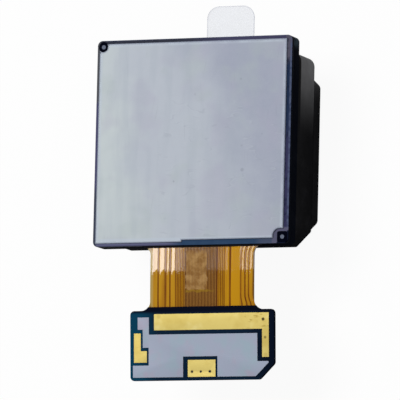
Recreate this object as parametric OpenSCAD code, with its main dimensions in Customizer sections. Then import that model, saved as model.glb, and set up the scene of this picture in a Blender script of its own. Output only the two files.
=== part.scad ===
// Phone camera module: rear (sensor) side up, lens side down on its protective film.
// Origin: optical axis at the resting plane. +Z towards the back plate, -Y towards the flex cable.

/* [Board and back plate] */
// Side of the square main board
board_w = 20; // [19.4:0.1:22]
// Thickness of the main board
board_t = 0.5; // [0.4:0.05:0.8]
// Corner radius of the main board
board_r = 0.5; // [0.3:0.05:0.7]
// How far the board's centre lies behind the optical axis
board_shift = 0.5; // [0.2:0.05:0.6]
// Thickness of the back plate
plate_t = 0.15; // [0.1:0.05:0.3]
// Board border left free at the plate's left edge
border_left = 0.29; // [0.2:0.01:0.5]
// Board border left free at the plate's right edge
border_right = 0.5; // [0.3:0.01:0.7]
// Board border left free at the plate's back edge
border_back = 0.35; // [0.2:0.01:0.6]
// Board border left free at the plate's front edge, left of the step
border_front = 0.3; // [0.2:0.01:0.5]
// Depth of the step in the plate's front edge
plate_step = 0.2; // [0.1:0.01:0.4]
// Distance of the corner marks from the board's edges
mark_inset = 0.62; // [0.5:0.01:0.8]
// Radius of each corner mark
mark_r = 0.2; // [0.1:0.01:0.3]
// Radius of the clearing around the back mark
clearing_r = 0.5; // [0.35:0.01:0.6]
// Side of the square clearing around the front mark
clearing_w = 1.05; // [0.9:0.01:1.2]
// Radius of the plate's corner notch at the front mark
notch_r = 1.4; // [1.2:0.01:1.6]

/* [Sensor and bracket] */
// Height of the sensor bracket
bracket_h = 1.45; // [1.3:0.05:2]
// Wall of the sensor bracket
bracket_wall = 1.1; // [0.8:0.05:1.4]
// Floor of the sensor bracket
bracket_floor = 0.5; // [0.4:0.05:0.6]
// Length of the image sensor
sensor_l = 12.2; // [11:0.1:13]
// Width of the image sensor
sensor_w = 9.4; // [8.4:0.1:10]
// Thickness of the image sensor
sensor_t = 0.2; // [0.15:0.05:0.3]
// Length of the infrared filter
filter_l = 12; // [11:0.1:13]
// Width of the infrared filter
filter_w = 9.8; // [9:0.1:10.4]
// Thickness of the infrared filter
filter_t = 0.21; // [0.11:0.01:0.3]
// Width of the seat around the filter
filter_seat = 0.8; // [0.5:0.05:1]

/* [Actuator body] */
// Width of the actuator can
can_w = 20; // [19.8:0.1:21]
// Depth of the actuator can
can_d = 18.3; // [18.2:0.1:19]
// Height of the actuator can
can_h = 4.4; // [4.3:0.1:5.5]
// Sheet thickness of the can
can_t = 0.2; // [0.1:0.05:0.2]
// Width of the can's folded lip
can_lip = 0.8; // [0.5:0.05:0.85]
// Corner cut at the can's front edge
can_cut_front = 1.45; // [1:0.05:1.5]
// Corner radius at the can's back edge
can_round_back = 1.1; // [0.9:0.05:1.3]
// Wall of the moulded housing
housing_wall = 1; // [0.9:0.05:1.1]
// Floor of the moulded housing
housing_floor = 0.4; // [0.3:0.05:0.5]
// Depth of the front cover
cover_d = 17.6; // [17.4:0.1:18]
// Height of the front cover
cover_h = 1.8; // [1.6:0.1:2.4]
// Sheet thickness of the front cover
cover_t = 0.25; // [0.15:0.05:0.3]
// Corner cut of the front cover
cover_cut = 2.2; // [1.8:0.1:2.4]
// Outer radius of the lens collar
collar_r = 6.3; // [6.2:0.05:7]
// Height of the lens collar
collar_h = 0.85; // [0.8:0.05:1.2]
// Wall of the lens collar
collar_t = 0.3; // [0.2:0.05:0.35]
// Radius of the light opening
aperture_r = 5.1; // [5:0.05:5.4]
// Thickness of the front stopper
stopper_t = 0.2; // [0.15:0.05:0.3]
// Thickness of the front gasket
gasket_t = 0.25; // [0.15:0.05:0.4]

/* [Protective film] */
// Thickness of the film
film_t = 0.1; // [0.05:0.01:0.2]
// Radius of the film's round part
film_r = 7; // [6.8:0.1:8]
// Width of the pull tab
tab_w = 4.9; // [4:0.1:8]
// Sideways place of the pull tab
tab_x = 0.1; // [-2:0.05:2]
// Distance from the optical axis to the tab's end
tab_reach = 15; // [12:0.1:18]
// Corner radius of the tab
tab_r = 1.2; // [0.5:0.1:1.9]

/* [Drives] */
// Focus travel of the carrier
focus_travel = 0.4; // [0.2:0.05:0.4]
// Stabiliser travel each way
ois_travel = 0.15; // [0.05:0.01:0.15]
// Thickness of each magnet
magnet_t = 0.95; // [0.7:0.05:0.95]
// Length of each magnet
magnet_l = 6; // [5:0.1:6.4]
// Height of each magnet
magnet_h = 2.5; // [2:0.1:2.5]
// Thickness of each coil
coil_t = 0.5; // [0.3:0.05:0.5]
// Width of a coil's winding
coil_band = 0.75; // [0.5:0.05:0.8]
// Radius of the focus guide balls
focus_ball_r = 0.45; // [0.42:0.01:0.5]
// Radius of the stabiliser balls
ois_ball_r = 0.3; // [0.25:0.01:0.32]
// Thickness of the moving frame
frame_t = 0.6; // [0.55:0.01:0.65]
// Thickness of the carrier's floor
carrier_floor = 0.55; // [0.45:0.05:0.6]
// Thickness of the actuator's flex
drive_flex_t = 0.12; // [0.08:0.01:0.14]

/* [Lens] */
// Outer radius of the lens barrel
barrel_r = 5.5; // [5.4:0.02:5.56]
// Radius of the barrel's nose
nose_r = 4.6; // [4.2:0.05:4.9]
// Distance from the film to the barrel's nose
nose_recess = 0.65; // [0.6:0.05:0.9]
// Overall length of the lens barrel
barrel_l = 5.3; // [5.2:0.05:5.4]

/* [Flex and connector board] */
// Width of the flex cable
flex_w = 10.6; // [9:0.1:12]
// Sideways place of the flex cable
flex_x = 1.2; // [0.5:0.05:1.6]
// Length of the flex cable between the boards
flex_l = 5.85; // [4:0.05:12]
// Thickness of the flex cable
flex_t = 0.12; // [0.08:0.01:0.2]
// Root fillet of the flex cable
flex_fillet = 0.9; // [0.4:0.05:1.2]
// Downward slope of the connector board
droop = 4.3; // [0:0.1:8]
// Width of the connector board
conn_w = 14.7; // [14:0.1:16]
// Length of the connector board
conn_l = 6.7; // [6.4:0.1:8]
// Thickness of the connector board
conn_t = 0.45; // [0.3:0.05:0.6]
// Corner cut of the connector board
conn_cut = 1.5; // [1:0.1:2]
// Thickness of the grey stiffener
stiffener_t = 0.08; // [0.05:0.01:0.15]
// Thickness of the gold ground pads
pad_t = 0.04; // [0.02:0.01:0.08]
// Length of the board connector
plug_l = 9.4; // [8:0.1:10]
// Width of the board connector
plug_w = 2.4; // [2:0.1:3]
// Height of the board connector
plug_h = 0.75; // [0.6:0.05:0.9]
// Contacts in each row of the connector
contacts = 22; // [10:1:24]

/* [Hidden] */
$fn = 64;

eps = 0.01;    // overcut of a boolean tool
glue = 0.02;   // bond gap between glued pieces
run = 0.05;    // running gap between parts that slide

// Levels, from the resting plane up
z_gasket = film_t;
z_collar = z_gasket + gasket_t;
z_cover = z_collar + collar_h;
z_can = z_cover + cover_h;
z_bracket = z_can + can_h;
z_board = z_bracket + bracket_h;
z_plate = z_board + board_t;
z_floor = z_bracket - housing_floor;

// Plan of the board
board_front = board_shift - board_w / 2;
board_back = board_shift + board_w / 2;
plate_left = -board_w / 2 + border_left;
plate_right = board_w / 2 - border_right;
plate_back = board_back - border_back;
plate_front = board_front + border_front;
plate_step_x = flex_x - 2.05;
back_mark = [-board_w / 2 + mark_inset, board_back - mark_inset];
front_mark = [board_w / 2 - mark_inset, board_front + mark_inset];
mark_sink = 0.04;                              // shallow clearings around the corner marks
mark_t = 0.03;
z_mark = z_plate - mark_sink;

// Plan of the actuator
housing_gap = 0.05;
housing_x = can_w / 2 - can_t - housing_gap;   // outer half sizes of the moulding
housing_y = can_d / 2 - can_t - housing_gap;
pocket_x = housing_x - housing_wall;           // inner half sizes of the moulding
pocket_y = housing_y - housing_wall;
guide_gap = 0.7;                               // wall to carrier, bridged by the balls
carrier_x = pocket_x - guide_gap;
carrier_y = pocket_y - guide_gap + 0.1;
cavity = 6.6;                                  // inner half side of the carrier
holder_half = 6.3;                             // half side of the lens holder
guide_y = 5.6;                                 // rows of focus balls, each side of the axis
z_carrier = z_can + run;                       // carrier rests on the front stopper
z_holder = z_carrier + 0.05;
z_drive = z_can + can_t + 0.1;                 // coils and magnets clear the can's lip
drive_mid = z_drive + magnet_h / 2;
layer_gap = 2 * ois_ball_r - 0.4;              // gap between the sliding layers
z_frame = z_holder + 2.0;
holder_h = z_frame - layer_gap - z_holder;
z_carrier_floor = z_frame + frame_t + layer_gap;
z_carrier_top = z_carrier_floor + carrier_floor;
ball_seat = 0.2 + 0.02;                        // depth of the ball grooves
ball_spot = 5.35;                              // stabiliser balls, along each axis
magnet_x = carrier_x + 0.35;                   // outer faces of the stabiliser magnets
magnet_y = carrier_y + 0.05;
pull_l = 4;                                    // steel bars that the magnets pull on
pull_t = 0.13;
flex_seat = drive_flex_t + glue;               // recess of the drive flex in the housing
drive_x = housing_x - flex_seat;
drive_y = housing_y - flex_seat;
tail_w = 4.4;                                  // tail of the drive flex, up to the board
z_strip = z_can + 0.3;
strip_h = can_h - 1;
yoke_t = 0.15;
window_l = magnet_l + 0.9;
window_h = magnet_h + 0.3;

// Optics: centre start, centre thickness, front sag, rear sag, clear radius, flange radius
lens_data = [
    [0.20, 0.95, 0.75, 0.15, 2.50, 2.95],
    [1.40, 0.28, 0.18, 0.42, 2.35, 3.10],
    [2.15, 0.50, 0.05, -0.10, 2.55, 3.40],
    [2.85, 0.40, -0.15, -0.30, 2.80, 3.75],
    [3.40, 0.42, -0.30, -0.45, 3.30, 4.15],
    [4.00, 0.50, -0.45, -0.50, 3.90, 4.60],
    [4.65, 0.35, -0.45, -0.30, 4.35, 5.00]];
z_nose = film_t + nose_recess;
function flange_front(i) = z_nose + lens_data[i][0] + lens_data[i][2];
function flange_rear(i) = z_nose + lens_data[i][0] + lens_data[i][1] + lens_data[i][3];
z_barrel_end = z_nose + barrel_l;
nose_h = 1.25;
retainer_h = 0.35;

// Flex route: level at the board, then a steady curve down to the connector board's slope
flex_z = z_board + 0.2;
flex_end_drop = flex_l * tan(droop) / 2;
tongue = 0.35;   // rigid tongue of the connector board that takes the flex
conn_x = flex_x + 0.05;

// Board connector
plug_floor = 0.25;
plug_wall = 0.3;
plug_end = 0.4;
plug_ridge = 0.7;
contact_w = 0.16;
contact_t = 0.12;
contact_foot = 0.38;
anchor_t = 0.26;
anchor_h = 0.5;

// Pieces on the sensor side of the main board: distance from the axis and from the sensor's
// edge, width, depth and height of each chip
chips_front = [[-2.4, 1.7, 2.6, 2.0, 0.6], [2.2, 1.6, 1.6, 1.2, 0.5], [5.6, 1.7, 2.0, 1.4, 0.55]];
chips_back = [[-5.2, 1.5, 1.8, 1.4, 0.5]];
cap_l = 0.6;
cap_w = 0.3;
cap_h = 0.33;
cap_pitch = 1.3;
cap_row_gap = 1.1;
cap_back_x = 1.2;
cap_back_gap = 1.9;

// Route of the flex cable
function route_z(y) = flex_z - (board_front - y) * (board_front - y) * tan(droop) / (2 * flex_l);
function route_slope(y) = atan((board_front - y) * tan(droop) / flex_l);

// Broad copper tracks: start from the flex's left edge, and width
broad_tracks = [[0.12, 0.62], [0.9, 0.56], [1.66, 0.3], [2.1, 0.46], [7.62, 0.44],
                [8.26, 0.95], [9.32, 0.3], [9.76, 0.24], [10.12, 0.34]];
// Groups of fine tracks: start, count, pitch and width
fine_tracks = [[2.68, 6, 0.16, 0.07], [3.66, 21, 0.15, 0.07], [6.92, 4, 0.17, 0.09]];
track_t = 0.03;

// Corner rounding of an outline, by an arc at each point
function unit(v) = v / norm(v);
function corner_arc(a, b, c, r, n) =
    let (u = unit(a - b), v = unit(c - b), half = acos(min(1, max(-1, u * v))) / 2,
         m = b + unit(u + v) * r / sin(half), s = b + u * r / tan(half), e = b + v * r / tan(half))
    [for (i = [0:n]) m + unit((s - m) * (1 - i / n) + (e - m) * i / n) * r];
function rounded(p, r, n = 5) = rounded_each(p, [for (i = p) r], n);
function rounded_each(p, radii, n = 5) =
    [for (i = [0:len(p) - 1]) each
        corner_arc(p[(i + len(p) - 1) % len(p)], p[i], p[(i + 1) % len(p)], radii[i], n)];

// Rectangle with its four corners cut at 45 degrees, front and back cuts apart
function cut_outline(w, d, front, back) =
    [[-w / 2 + front, -d / 2], [w / 2 - front, -d / 2], [w / 2, -d / 2 + front],
     [w / 2, d / 2 - back], [w / 2 - back, d / 2], [-w / 2 + back, d / 2],
     [-w / 2, d / 2 - back], [-w / 2, -d / 2 + front]];

// Outline of the actuator body at a distance inside the can's face: cut in front, round at the back
function body_outline(inset, cut) =
    let (x = can_w / 2 - inset, y = can_d / 2 - inset, r = can_round_back - inset)
    rounded_each([[-x + cut, -y], [x - cut, -y], [x, -y + cut], [x, y], [-x, y], [-x, -y + cut]],
                 [0.25, 0.25, 0.25, r, r, 0.25], 8);

module slab(w, d, h, r = 0) {
    if (r > 0) {
        linear_extrude(h) rounded_rectangle(w, d, r);
    } else {
        translate([-w / 2, -d / 2, 0]) cube([w, d, h]);
    }
}

module rounded_rectangle(w, d, r) {
    square([w - 2 * r, d], center = true);
    square([w, d - 2 * r], center = true);
    for (x = [-1, 1], y = [-1, 1]) {
        translate([x * (w / 2 - r), y * (d / 2 - r)]) circle(r);
    }
}

module can_outline(inset) {
    polygon(body_outline(inset, can_cut_front - inset * 0.586));
}

module cover_outline(inset) {
    polygon(rounded(cut_outline(can_w - 2 * inset, cover_d - 2 * inset,
                                cover_cut - inset * 0.586, cover_cut - inset * 0.586), 0.6));
}

// ---- Front of the module ----

module lens_film() {
    color("aliceblue", 0.6) linear_extrude(film_t) {
        circle(film_r);
        translate([tab_x - tab_w / 2, 0]) square([tab_w, tab_reach - tab_r]);
        translate([tab_x, tab_reach - tab_r]) square([tab_w - 2 * tab_r, 2 * tab_r], center = true);
        for (x = [-1, 1]) {
            translate([tab_x + x * (tab_w / 2 - tab_r), tab_reach - tab_r]) circle(tab_r);
        }
    }
}

module front_gasket() {
    color("dimgray") translate([0, 0, z_gasket]) difference() {
        cylinder(r = collar_r - 0.05, h = gasket_t);
        translate([0, 0, -eps]) cylinder(r = aperture_r + 0.1, h = gasket_t + 2 * eps);
    }
}

module front_cover() {
    color("#1b1b1d") difference() {
        union() {
            translate([0, 0, z_cover]) linear_extrude(cover_h) cover_outline(0);
            translate([0, 0, z_collar]) cylinder(r = collar_r, h = collar_h + eps);
        }
        translate([0, 0, z_cover + cover_t]) linear_extrude(cover_h) cover_outline(cover_t);
        translate([0, 0, z_collar + cover_t]) cylinder(r = collar_r - collar_t, h = collar_h + cover_t);
        translate([0, 0, z_collar - eps])
            cylinder(r1 = aperture_r + 0.2, r2 = aperture_r, h = cover_t + 2 * eps);
    }
}

module front_stopper() {
    color("#2a2a2c") translate([0, 0, z_can - stopper_t]) difference() {
        linear_extrude(stopper_t) cover_outline(cover_t + run);
        translate([0, 0, -eps]) cylinder(r = holder_half + ois_travel * 2 + 0.15, h = stopper_t + 2 * eps);
        for (a = [45:90:315]) {
            rotate(a) translate([holder_half + 1.6, 0, -eps]) cylinder(r = 0.5, h = stopper_t + 2 * eps);
        }
    }
}

// ---- Actuator: fixed pieces ----

module actuator_can() {
    color("#161617") translate([0, 0, z_can]) difference() {
        linear_extrude(can_h) can_outline(0);
        translate([0, 0, can_t]) linear_extrude(can_h) can_outline(can_t);
        translate([0, 0, -eps]) linear_extrude(can_h) can_outline(can_t + can_lip);
    }
}

module actuator_housing() {
    color("#222224") difference() {
        translate([0, 0, z_can + can_t + glue]) linear_extrude(can_h - can_t - glue)
            can_outline(can_t + housing_gap);
        // pocket of the moving parts
        translate([0, 0, z_can - eps]) slab(2 * pocket_x, 2 * pocket_y, can_h - housing_floor + eps, 0.6);
        // light window in the floor
        translate([0, 0, z_floor - eps]) slab(filter_l - 0.4, filter_w - 0.4, housing_floor + 2 * eps, 0.8);
        // recess of the drive flex on three sides
        drive_recess(drive_x, can_h);
        // coil windows
        coil_window(0);
        coil_window(90);
        coil_window(180);
        // recess of the focus yoke
        translate([-drive_x - eps, -magnet_l / 2 - glue, drive_mid - magnet_h / 2 - glue])
            cube([yoke_t + glue + eps, magnet_l + 2 * glue, magnet_h + 2 * glue]);
        // ball grooves of the focus guide
        for (y = [-guide_y, guide_y]) {
            guide_groove(y);
        }
        // dowel holes for the bracket's pegs
        for (s = [-1, 1]) {
            translate([s * (pocket_x + 0.25), -s * (pocket_y - 0.9), z_bracket - 0.3])
                cylinder(r = 0.3, h = 0.3 + eps);
        }
    }
}

// Groove of square section, turned on its edge, for a row of focus balls
module guide_groove(y) {
    half = focus_ball_r + 0.01;
    translate([-(pocket_x + carrier_x) / 2, y, z_can - 2 * eps]) rotate(45)
        translate([-half, -half, 0]) cube([2 * half, 2 * half, can_h - housing_floor + eps]);
}

module drive_recess(x, h) {
    difference() {
        translate([0, 0, z_can - eps]) slab(can_w, can_d, h + 2 * eps);
        translate([0, 0, z_can - 2 * eps]) linear_extrude(h + 4 * eps) drive_core();
    }
}

// Outline of the housing inside the drive flex
module drive_core() {
    polygon(body_outline(can_w / 2 - drive_x, can_cut_front));
    translate([-drive_x - 1, -drive_y - 1]) square([2 * drive_x + 2, drive_y + 1 - 4.4]);
}

module coil_window(angle) {
    rotate(angle) translate([cavity, -window_l / 2, drive_mid - window_h / 2]) cube([6, window_l, window_h]);
}

module focus_yoke() {
    color("silver") translate([-drive_x, -magnet_l / 2, drive_mid - magnet_h / 2])
        cube([yoke_t, magnet_l, magnet_h]);
}

// Strip that wraps the housing on the left, back and right, with a tail up to the main board
module drive_flex() {
    color("#b06a18") union() {
        translate([0, 0, z_strip]) linear_extrude(strip_h) difference() {
            drive_ring(0);
            drive_ring(drive_flex_t);
            translate([-can_w, -can_d - 4.2]) square([2 * can_w, can_d]);
        }
        translate([-tail_w / 2, drive_y, z_strip]) cube([tail_w, drive_flex_t, z_board - z_strip]);
    }
}

module drive_ring(inset) {
    polygon(body_outline(can_w / 2 - drive_x - drive_flex_t + inset, can_cut_front));
}

// Race-track winding that faces +X, at its own place
module coil(face) {
    translate([face - coil_t, 0, drive_mid]) rotate([90, 0, 90]) linear_extrude(coil_t) difference() {
        rounded_rectangle(magnet_l + 0.4, magnet_h, coil_band + 0.1);
        rounded_rectangle(magnet_l + 0.4 - 2 * coil_band, magnet_h - 2 * coil_band, 0.1);
    }
}

module focus_coil() {
    color("#b4622d") rotate(180) coil(drive_x - yoke_t - glue);
}

module stabiliser_coil_x() {
    color("#b4622d") coil(drive_x);
}

module stabiliser_coil_y() {
    color("#b4622d") rotate(90) coil(drive_y);
}

module position_sensors() {
    color("#303036") {
        sensor_chip(0, drive_x);
        sensor_chip(90, drive_y);
        sensor_chip(180, drive_x - yoke_t - glue);
    }
}

module sensor_chip(angle, face) {
    rotate(angle) translate([face - 0.35, -0.6, drive_mid - 0.35]) cube([0.35, 1.2, 0.7]);
}

// ---- Sensor side ----

module sensor_bracket() {
    color("#14181c") union() {
        difference() {
            translate([0, board_shift, z_bracket]) slab(board_w, board_w, bracket_h, board_r);
            translate([0, board_shift, z_bracket + bracket_floor])
                slab(board_w - 2 * bracket_wall, board_w - 2 * bracket_wall, bracket_h, 0.6);
            translate([0, 0, z_bracket - eps])
                slab(filter_l - 2 * filter_seat, filter_w - 2 * filter_seat, bracket_floor + 2 * eps, 0.5);
            translate([0, 0, z_bracket + bracket_floor - filter_t - glue])
                slab(filter_l + 0.1, filter_w + 0.1, filter_t + glue + eps);
            translate([-tail_w / 2 - run, drive_y - run, z_bracket - eps])
                cube([tail_w + 2 * run, drive_flex_t + 2 * run, bracket_floor + 2 * eps]);
        }
        for (s = [-1, 1]) {
            translate([s * (pocket_x + 0.25), -s * (pocket_y - 0.9), z_bracket - 0.25])
                cylinder(r = 0.27, h = 0.25 + eps);
        }
    }
}

module infrared_filter() {
    color("#7fb8c8", 0.5) translate([0, 0, z_bracket + bracket_floor - filter_t])
        slab(filter_l, filter_w, filter_t);
}

module image_sensor() {
    color("#3a2c55") translate([0, 0, z_board - sensor_t]) difference() {
        slab(sensor_l, sensor_w, sensor_t);
        translate([0, 0, -eps]) slab(sensor_l - 1.8, sensor_w - 1.8, 0.02 + eps);
    }
}

module board_chips() {
    color("#1c1c20") {
        for (c = chips_front) {
            translate([c[0], -sensor_w / 2 - c[1], z_board - c[4]]) slab(c[2], c[3], c[4]);
        }
        for (c = chips_back) {
            translate([c[0], sensor_w / 2 + c[1], z_board - c[4]]) slab(c[2], c[3], c[4]);
        }
    }
}

module board_capacitors() {
    color("#8a6a48") {
        for (x = [-1, 1], i = [0:5]) {
            translate([x * (sensor_l / 2 + cap_row_gap), (i - 2.5) * cap_pitch, z_board - cap_h])
                slab(cap_l, cap_w, cap_h);
        }
        for (i = [0:4]) {
            translate([cap_back_x + i * cap_row_gap, sensor_w / 2 + cap_back_gap, z_board - cap_h])
                slab(cap_w, cap_l, cap_h);
        }
    }
}

module main_board() {
    color("#1d2838") difference() {
        translate([0, board_shift, z_board]) slab(board_w, board_w, board_t, board_r);
        translate([back_mark[0], back_mark[1], z_mark]) cylinder(r = clearing_r, h = 1);
        translate([front_mark[0], front_mark[1], z_mark]) slab(clearing_w, clearing_w, 1, 0.2);
    }
}

module back_plate() {
    color("#b4bac3") translate([0, 0, z_plate]) difference() {
        linear_extrude(plate_t) plate_outline();
        translate([back_mark[0], back_mark[1], -eps]) cylinder(r = clearing_r, h = 1);
        translate([board_w / 2, board_front, -eps]) cylinder(r = notch_r, h = 1);
    }
}

module plate_outline() {
    polygon(rounded([[plate_left, plate_front], [plate_step_x, plate_front],
                     [plate_step_x + 0.02, plate_front + plate_step],
                     [plate_right, plate_front + plate_step],
                     [plate_right, plate_back], [plate_left, plate_back]], 0.08, 3));
}

module corner_marks() {
    color("#c8ccd0") for (m = [back_mark, front_mark]) {
        translate([m[0], m[1], z_mark]) cylinder(r = mark_r, h = mark_t);
    }
}

// ---- Flex cable and connector board ----

// Sheet that follows the flex's route, between two offsets from its middle
module route_sheet(low, high, steps = 12) {
    ys = [for (i = [0:steps]) board_front - flex_l * i / steps];
    edge = function(y, d) [y + d * sin(route_slope(y)) * -1, route_z(y) + d * cos(route_slope(y))];
    translate([flex_x + flex_w, 0, 0]) rotate([90, 0, -90]) mirror([1, 0, 0])
        linear_extrude(2 * flex_w) polygon(concat([for (y = ys) edge(y, high)],
            [for (i = [steps:-1:0]) edge(ys[i], low)]));
}

// Concave fillet at a corner, towards +X and +Y
module root_fillet(r) {
    difference() {
        square(r);
        translate([r, r]) circle(r);
    }
}

module flex_outline() {
    y_end = board_front - flex_l;
    translate([flex_x - flex_w / 2, y_end - 1]) square([flex_w, flex_l + 2]);
    for (s = [-1, 1]) {
        translate([flex_x + s * (flex_w / 2 - eps), board_front]) mirror([s < 0 ? 1 : 0, 0]) mirror([0, 1])
            root_fillet(flex_fillet);
        translate([flex_x + s * (flex_w / 2 - eps), y_end - tongue]) mirror([s < 0 ? 1 : 0, 0])
            root_fillet(flex_fillet);
    }
}

module flex_cable() {
    color("#c98a1e") intersection() {
        route_sheet(-flex_t / 2, flex_t / 2);
        translate([0, 0, z_board - 5]) linear_extrude(10) flex_outline();
    }
}

module flex_traces() {
    left = flex_x - flex_w / 2;
    y_end = board_front - flex_l;
    color("#b8742c") intersection() {
        route_sheet(flex_t / 2, flex_t / 2 + track_t);
        union() {
            for (t = broad_tracks) {
                translate([left + t[0], y_end - 1, z_board - 5]) cube([t[1], flex_l + 2, 10]);
            }
            for (g = fine_tracks, i = [0:g[1] - 1]) {
                translate([left + g[0] + i * g[2], y_end - 1, z_board - 5]) cube([g[3], flex_l + 2, 10]);
            }
        }
    }
}

// Local frame of the connector board: its back edge at Y = 0, its middle plane at Z = 0
module on_connector_board() {
    translate([0, board_front - flex_l, flex_z - flex_end_drop]) rotate([droop, 0, 0])
        translate([conn_x, -tongue, 0]) children();
}

module connector_board() {
    color("#142936") on_connector_board() translate([0, 0, -conn_t / 2]) linear_extrude(conn_t)
        connector_outline();
}

module connector_outline() {
    half = conn_w / 2;
    polygon(rounded([[-half, 0], [-half, -conn_l], [half - conn_cut, -conn_l],
                     [half, -conn_l + conn_cut], [half, 0]], 0.4));
    intersection() {
        translate([-conn_x, -board_front + flex_l + tongue]) flex_outline();
        translate([-half, -1]) square([conn_w, 1 + tongue]);
    }
}

module board_stiffener() {
    color("#98a2b3") on_connector_board() translate([0, 0, conn_t / 2]) linear_extrude(stiffener_t)
        stiffener_outline();
}

// Grey field of the connector board, cut around the gold fields
module stiffener_outline() {
    left = -conn_w / 2;
    right = conn_w / 2;
    polygon([[left + 0.8, -0.63], [left + 1.95, -0.63], [left + 1.95, -2.28],
             [right - 1.68, -2.28], [right - 1.68, -4.95], [right - 0.55, -4.95],
             [right - 0.55, -5.1], [right - 1.85, -conn_l + 0.32], [1.6, -conn_l + 0.32],
             [1.6, -4.42], [-1.9, -4.42], [-1.9, -conn_l + 0.32], [left + 0.3, -conn_l + 0.32],
             [left + 0.3, -5.23], [left + 1.92, -5.23], [left + 1.92, -3.53],
             [left + 1.32, -3.53], [left + 1.32, -1.8], [left + 0.8, -1.8]]);
}

module ground_pads() {
    left = -conn_w / 2;
    right = conn_w / 2;
    color("#e5d079") on_connector_board() translate([0, 0, conn_t / 2]) linear_extrude(pad_t) difference() {
        union() {
            translate([left + 2.47, -1.88]) square([conn_w - 3, 1.55]);
            translate([right - 1.21, -4.56]) square([0.68, 3]);
            translate([left + 0.4, -4.95]) square([0.7, 2.8]);
            translate([left + 0.4, -4.95]) square([1.32, 1.1]);
            translate([-1.43, -conn_l + 0.33]) square([2.82, 1.62]);
        }
        for (x = [-1.0, -0.1, 0.82]) {
            translate([x, -5.88]) circle(r = 0.09);
        }
    }
}

module connector_body() {
    color("#1a1a1c") on_connector_board() plug_place() difference() {
        slab(plug_l, plug_w, plug_h, 0.2);
        difference() {
            translate([0, 0, plug_floor]) slab(plug_l - 2 * plug_end, plug_w - 2 * plug_wall, plug_h);
            slab(plug_l - 2 * plug_end - 1, plug_ridge, plug_h);
        }
    }
}

// Seat of the board connector on the lens side of the board, pointing away from it
module plug_place() {
    translate([0, -conn_l / 2 - 0.1, -conn_t / 2]) rotate([180, 0, 0]) children();
}

module connector_contacts() {
    pitch = (plug_l - 2.2) / (contacts - 1);
    color("#d8b85a") on_connector_board() plug_place() {
        for (s = [-1, 1], i = [0:contacts - 1]) {
            x = (i - (contacts - 1) / 2) * pitch;
            translate([x, s * (plug_ridge + contact_t + eps) / 2, plug_floor])
                slab(contact_w, contact_t, plug_h - plug_floor - 0.05);
            translate([x, s * (plug_w + contact_foot + glue) / 2, 0])
                slab(contact_w, contact_foot, 0.1);
        }
    }
}

module connector_anchors() {
    color("#c8ccd0") on_connector_board() plug_place() {
        for (s = [-1, 1]) {
            translate([s * (plug_l + anchor_t + glue) / 2, 0, 0]) slab(anchor_t, plug_w, anchor_h);
        }
    }
}

// ---- Focus carrier and its pieces ----

module focus_carrier() {
    color("#2c2c30") difference() {
        translate([0, 0, z_carrier]) slab(2 * carrier_x, 2 * carrier_y, z_carrier_top - z_carrier, 1);
        translate([0, 0, z_carrier - eps])
            slab(2 * cavity, 2 * cavity, z_carrier_floor - z_carrier + eps, 0.4);
        // light opening of the floor
        translate([0, 0, z_carrier_floor - eps])
            cylinder(r = barrel_r + 2 * ois_travel + 0.2, h = carrier_floor + 2 * eps);
        // windows for the stabiliser magnets
        for (a = [0, 90]) {
            rotate(a) translate([cavity - eps, -magnet_l / 2 - 0.4, z_carrier - eps])
                cube([4, magnet_l + 0.8, z_drive + magnet_h + 0.1 - z_carrier]);
        }
        // seat of the focus magnet
        translate([-carrier_x - eps, -magnet_l / 2 - glue, drive_mid - magnet_h / 2 - glue])
            cube([magnet_t - 0.2 + glue + eps, magnet_l + 2 * glue, magnet_h + 2 * glue]);
        for (y = [-guide_y, guide_y]) {
            guide_groove(y);
        }
        // grooves of the stabiliser balls, along X
        for (x = [-1, 1], y = [-1, 1]) {
            ball_groove(x, y, z_carrier_floor - eps, 0);
        }
        // seats of the pull yokes
        pull_seat(cavity + 0.35, -pull_l / 2, 0.7, pull_l, pull_t + glue);
        pull_seat(-pull_l / 2, carrier_y - 0.7, pull_l, 0.4, pull_t + glue);
    }
}

// Bar on the underside of the carrier's floor
module pull_seat(x, y, w, d, h) {
    translate([x, y, z_carrier_floor - eps]) cube([w, d, h + eps]);
}

// Straight groove under a stabiliser ball, of the ball's width and half a travel longer each way
module ball_groove(x, y, z, angle) {
    w = 2 * ois_ball_r + 0.04;
    l = w + 2 * ois_travel + 0.1;
    translate([x * ball_spot, y * ball_spot, z]) rotate(angle) slab(l, w, ball_seat + eps);
}

module focus_magnet() {
    color("#a9adb3") translate([-carrier_x - 0.2, -magnet_l / 2, drive_mid - magnet_h / 2])
        cube([magnet_t, magnet_l, magnet_h]);
}

module focus_balls() {
    color("#e4e6ea") for (y = [-guide_y, guide_y], i = [0:2]) {
        translate([-(pocket_x + carrier_x) / 2, y, z_carrier + 0.6 + i * 1.05]) sphere(focus_ball_r);
    }
}

module pull_yokes() {
    color("silver") {
        translate([cavity + 0.35 + glue, -pull_l / 2 + glue, z_carrier_floor])
            cube([0.7 - 2 * glue, pull_l - 2 * glue, pull_t]);
        translate([-pull_l / 2 + glue, carrier_y - 0.7 + glue, z_carrier_floor])
            cube([pull_l - 2 * glue, 0.4 - 2 * glue, pull_t]);
    }
}

// ---- Stabiliser frame ----

module stabiliser_frame() {
    frame_w = 2 * (cavity - ois_travel - run);
    frame_d = 2 * (magnet_y - magnet_t - ois_travel - run);
    color("#3a3a3f") difference() {
        translate([0, 0, z_frame]) slab(frame_w, frame_d, frame_t, 0.4);
        translate([0, 0, z_frame - eps]) cylinder(r = barrel_r + ois_travel + 0.1, h = frame_t + 2 * eps);
        for (x = [-1, 1], y = [-1, 1]) {
            ball_groove(x, y, z_frame - eps, 90);
            ball_groove(x, y, z_frame + frame_t - ball_seat, 0);
        }
    }
}

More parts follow.
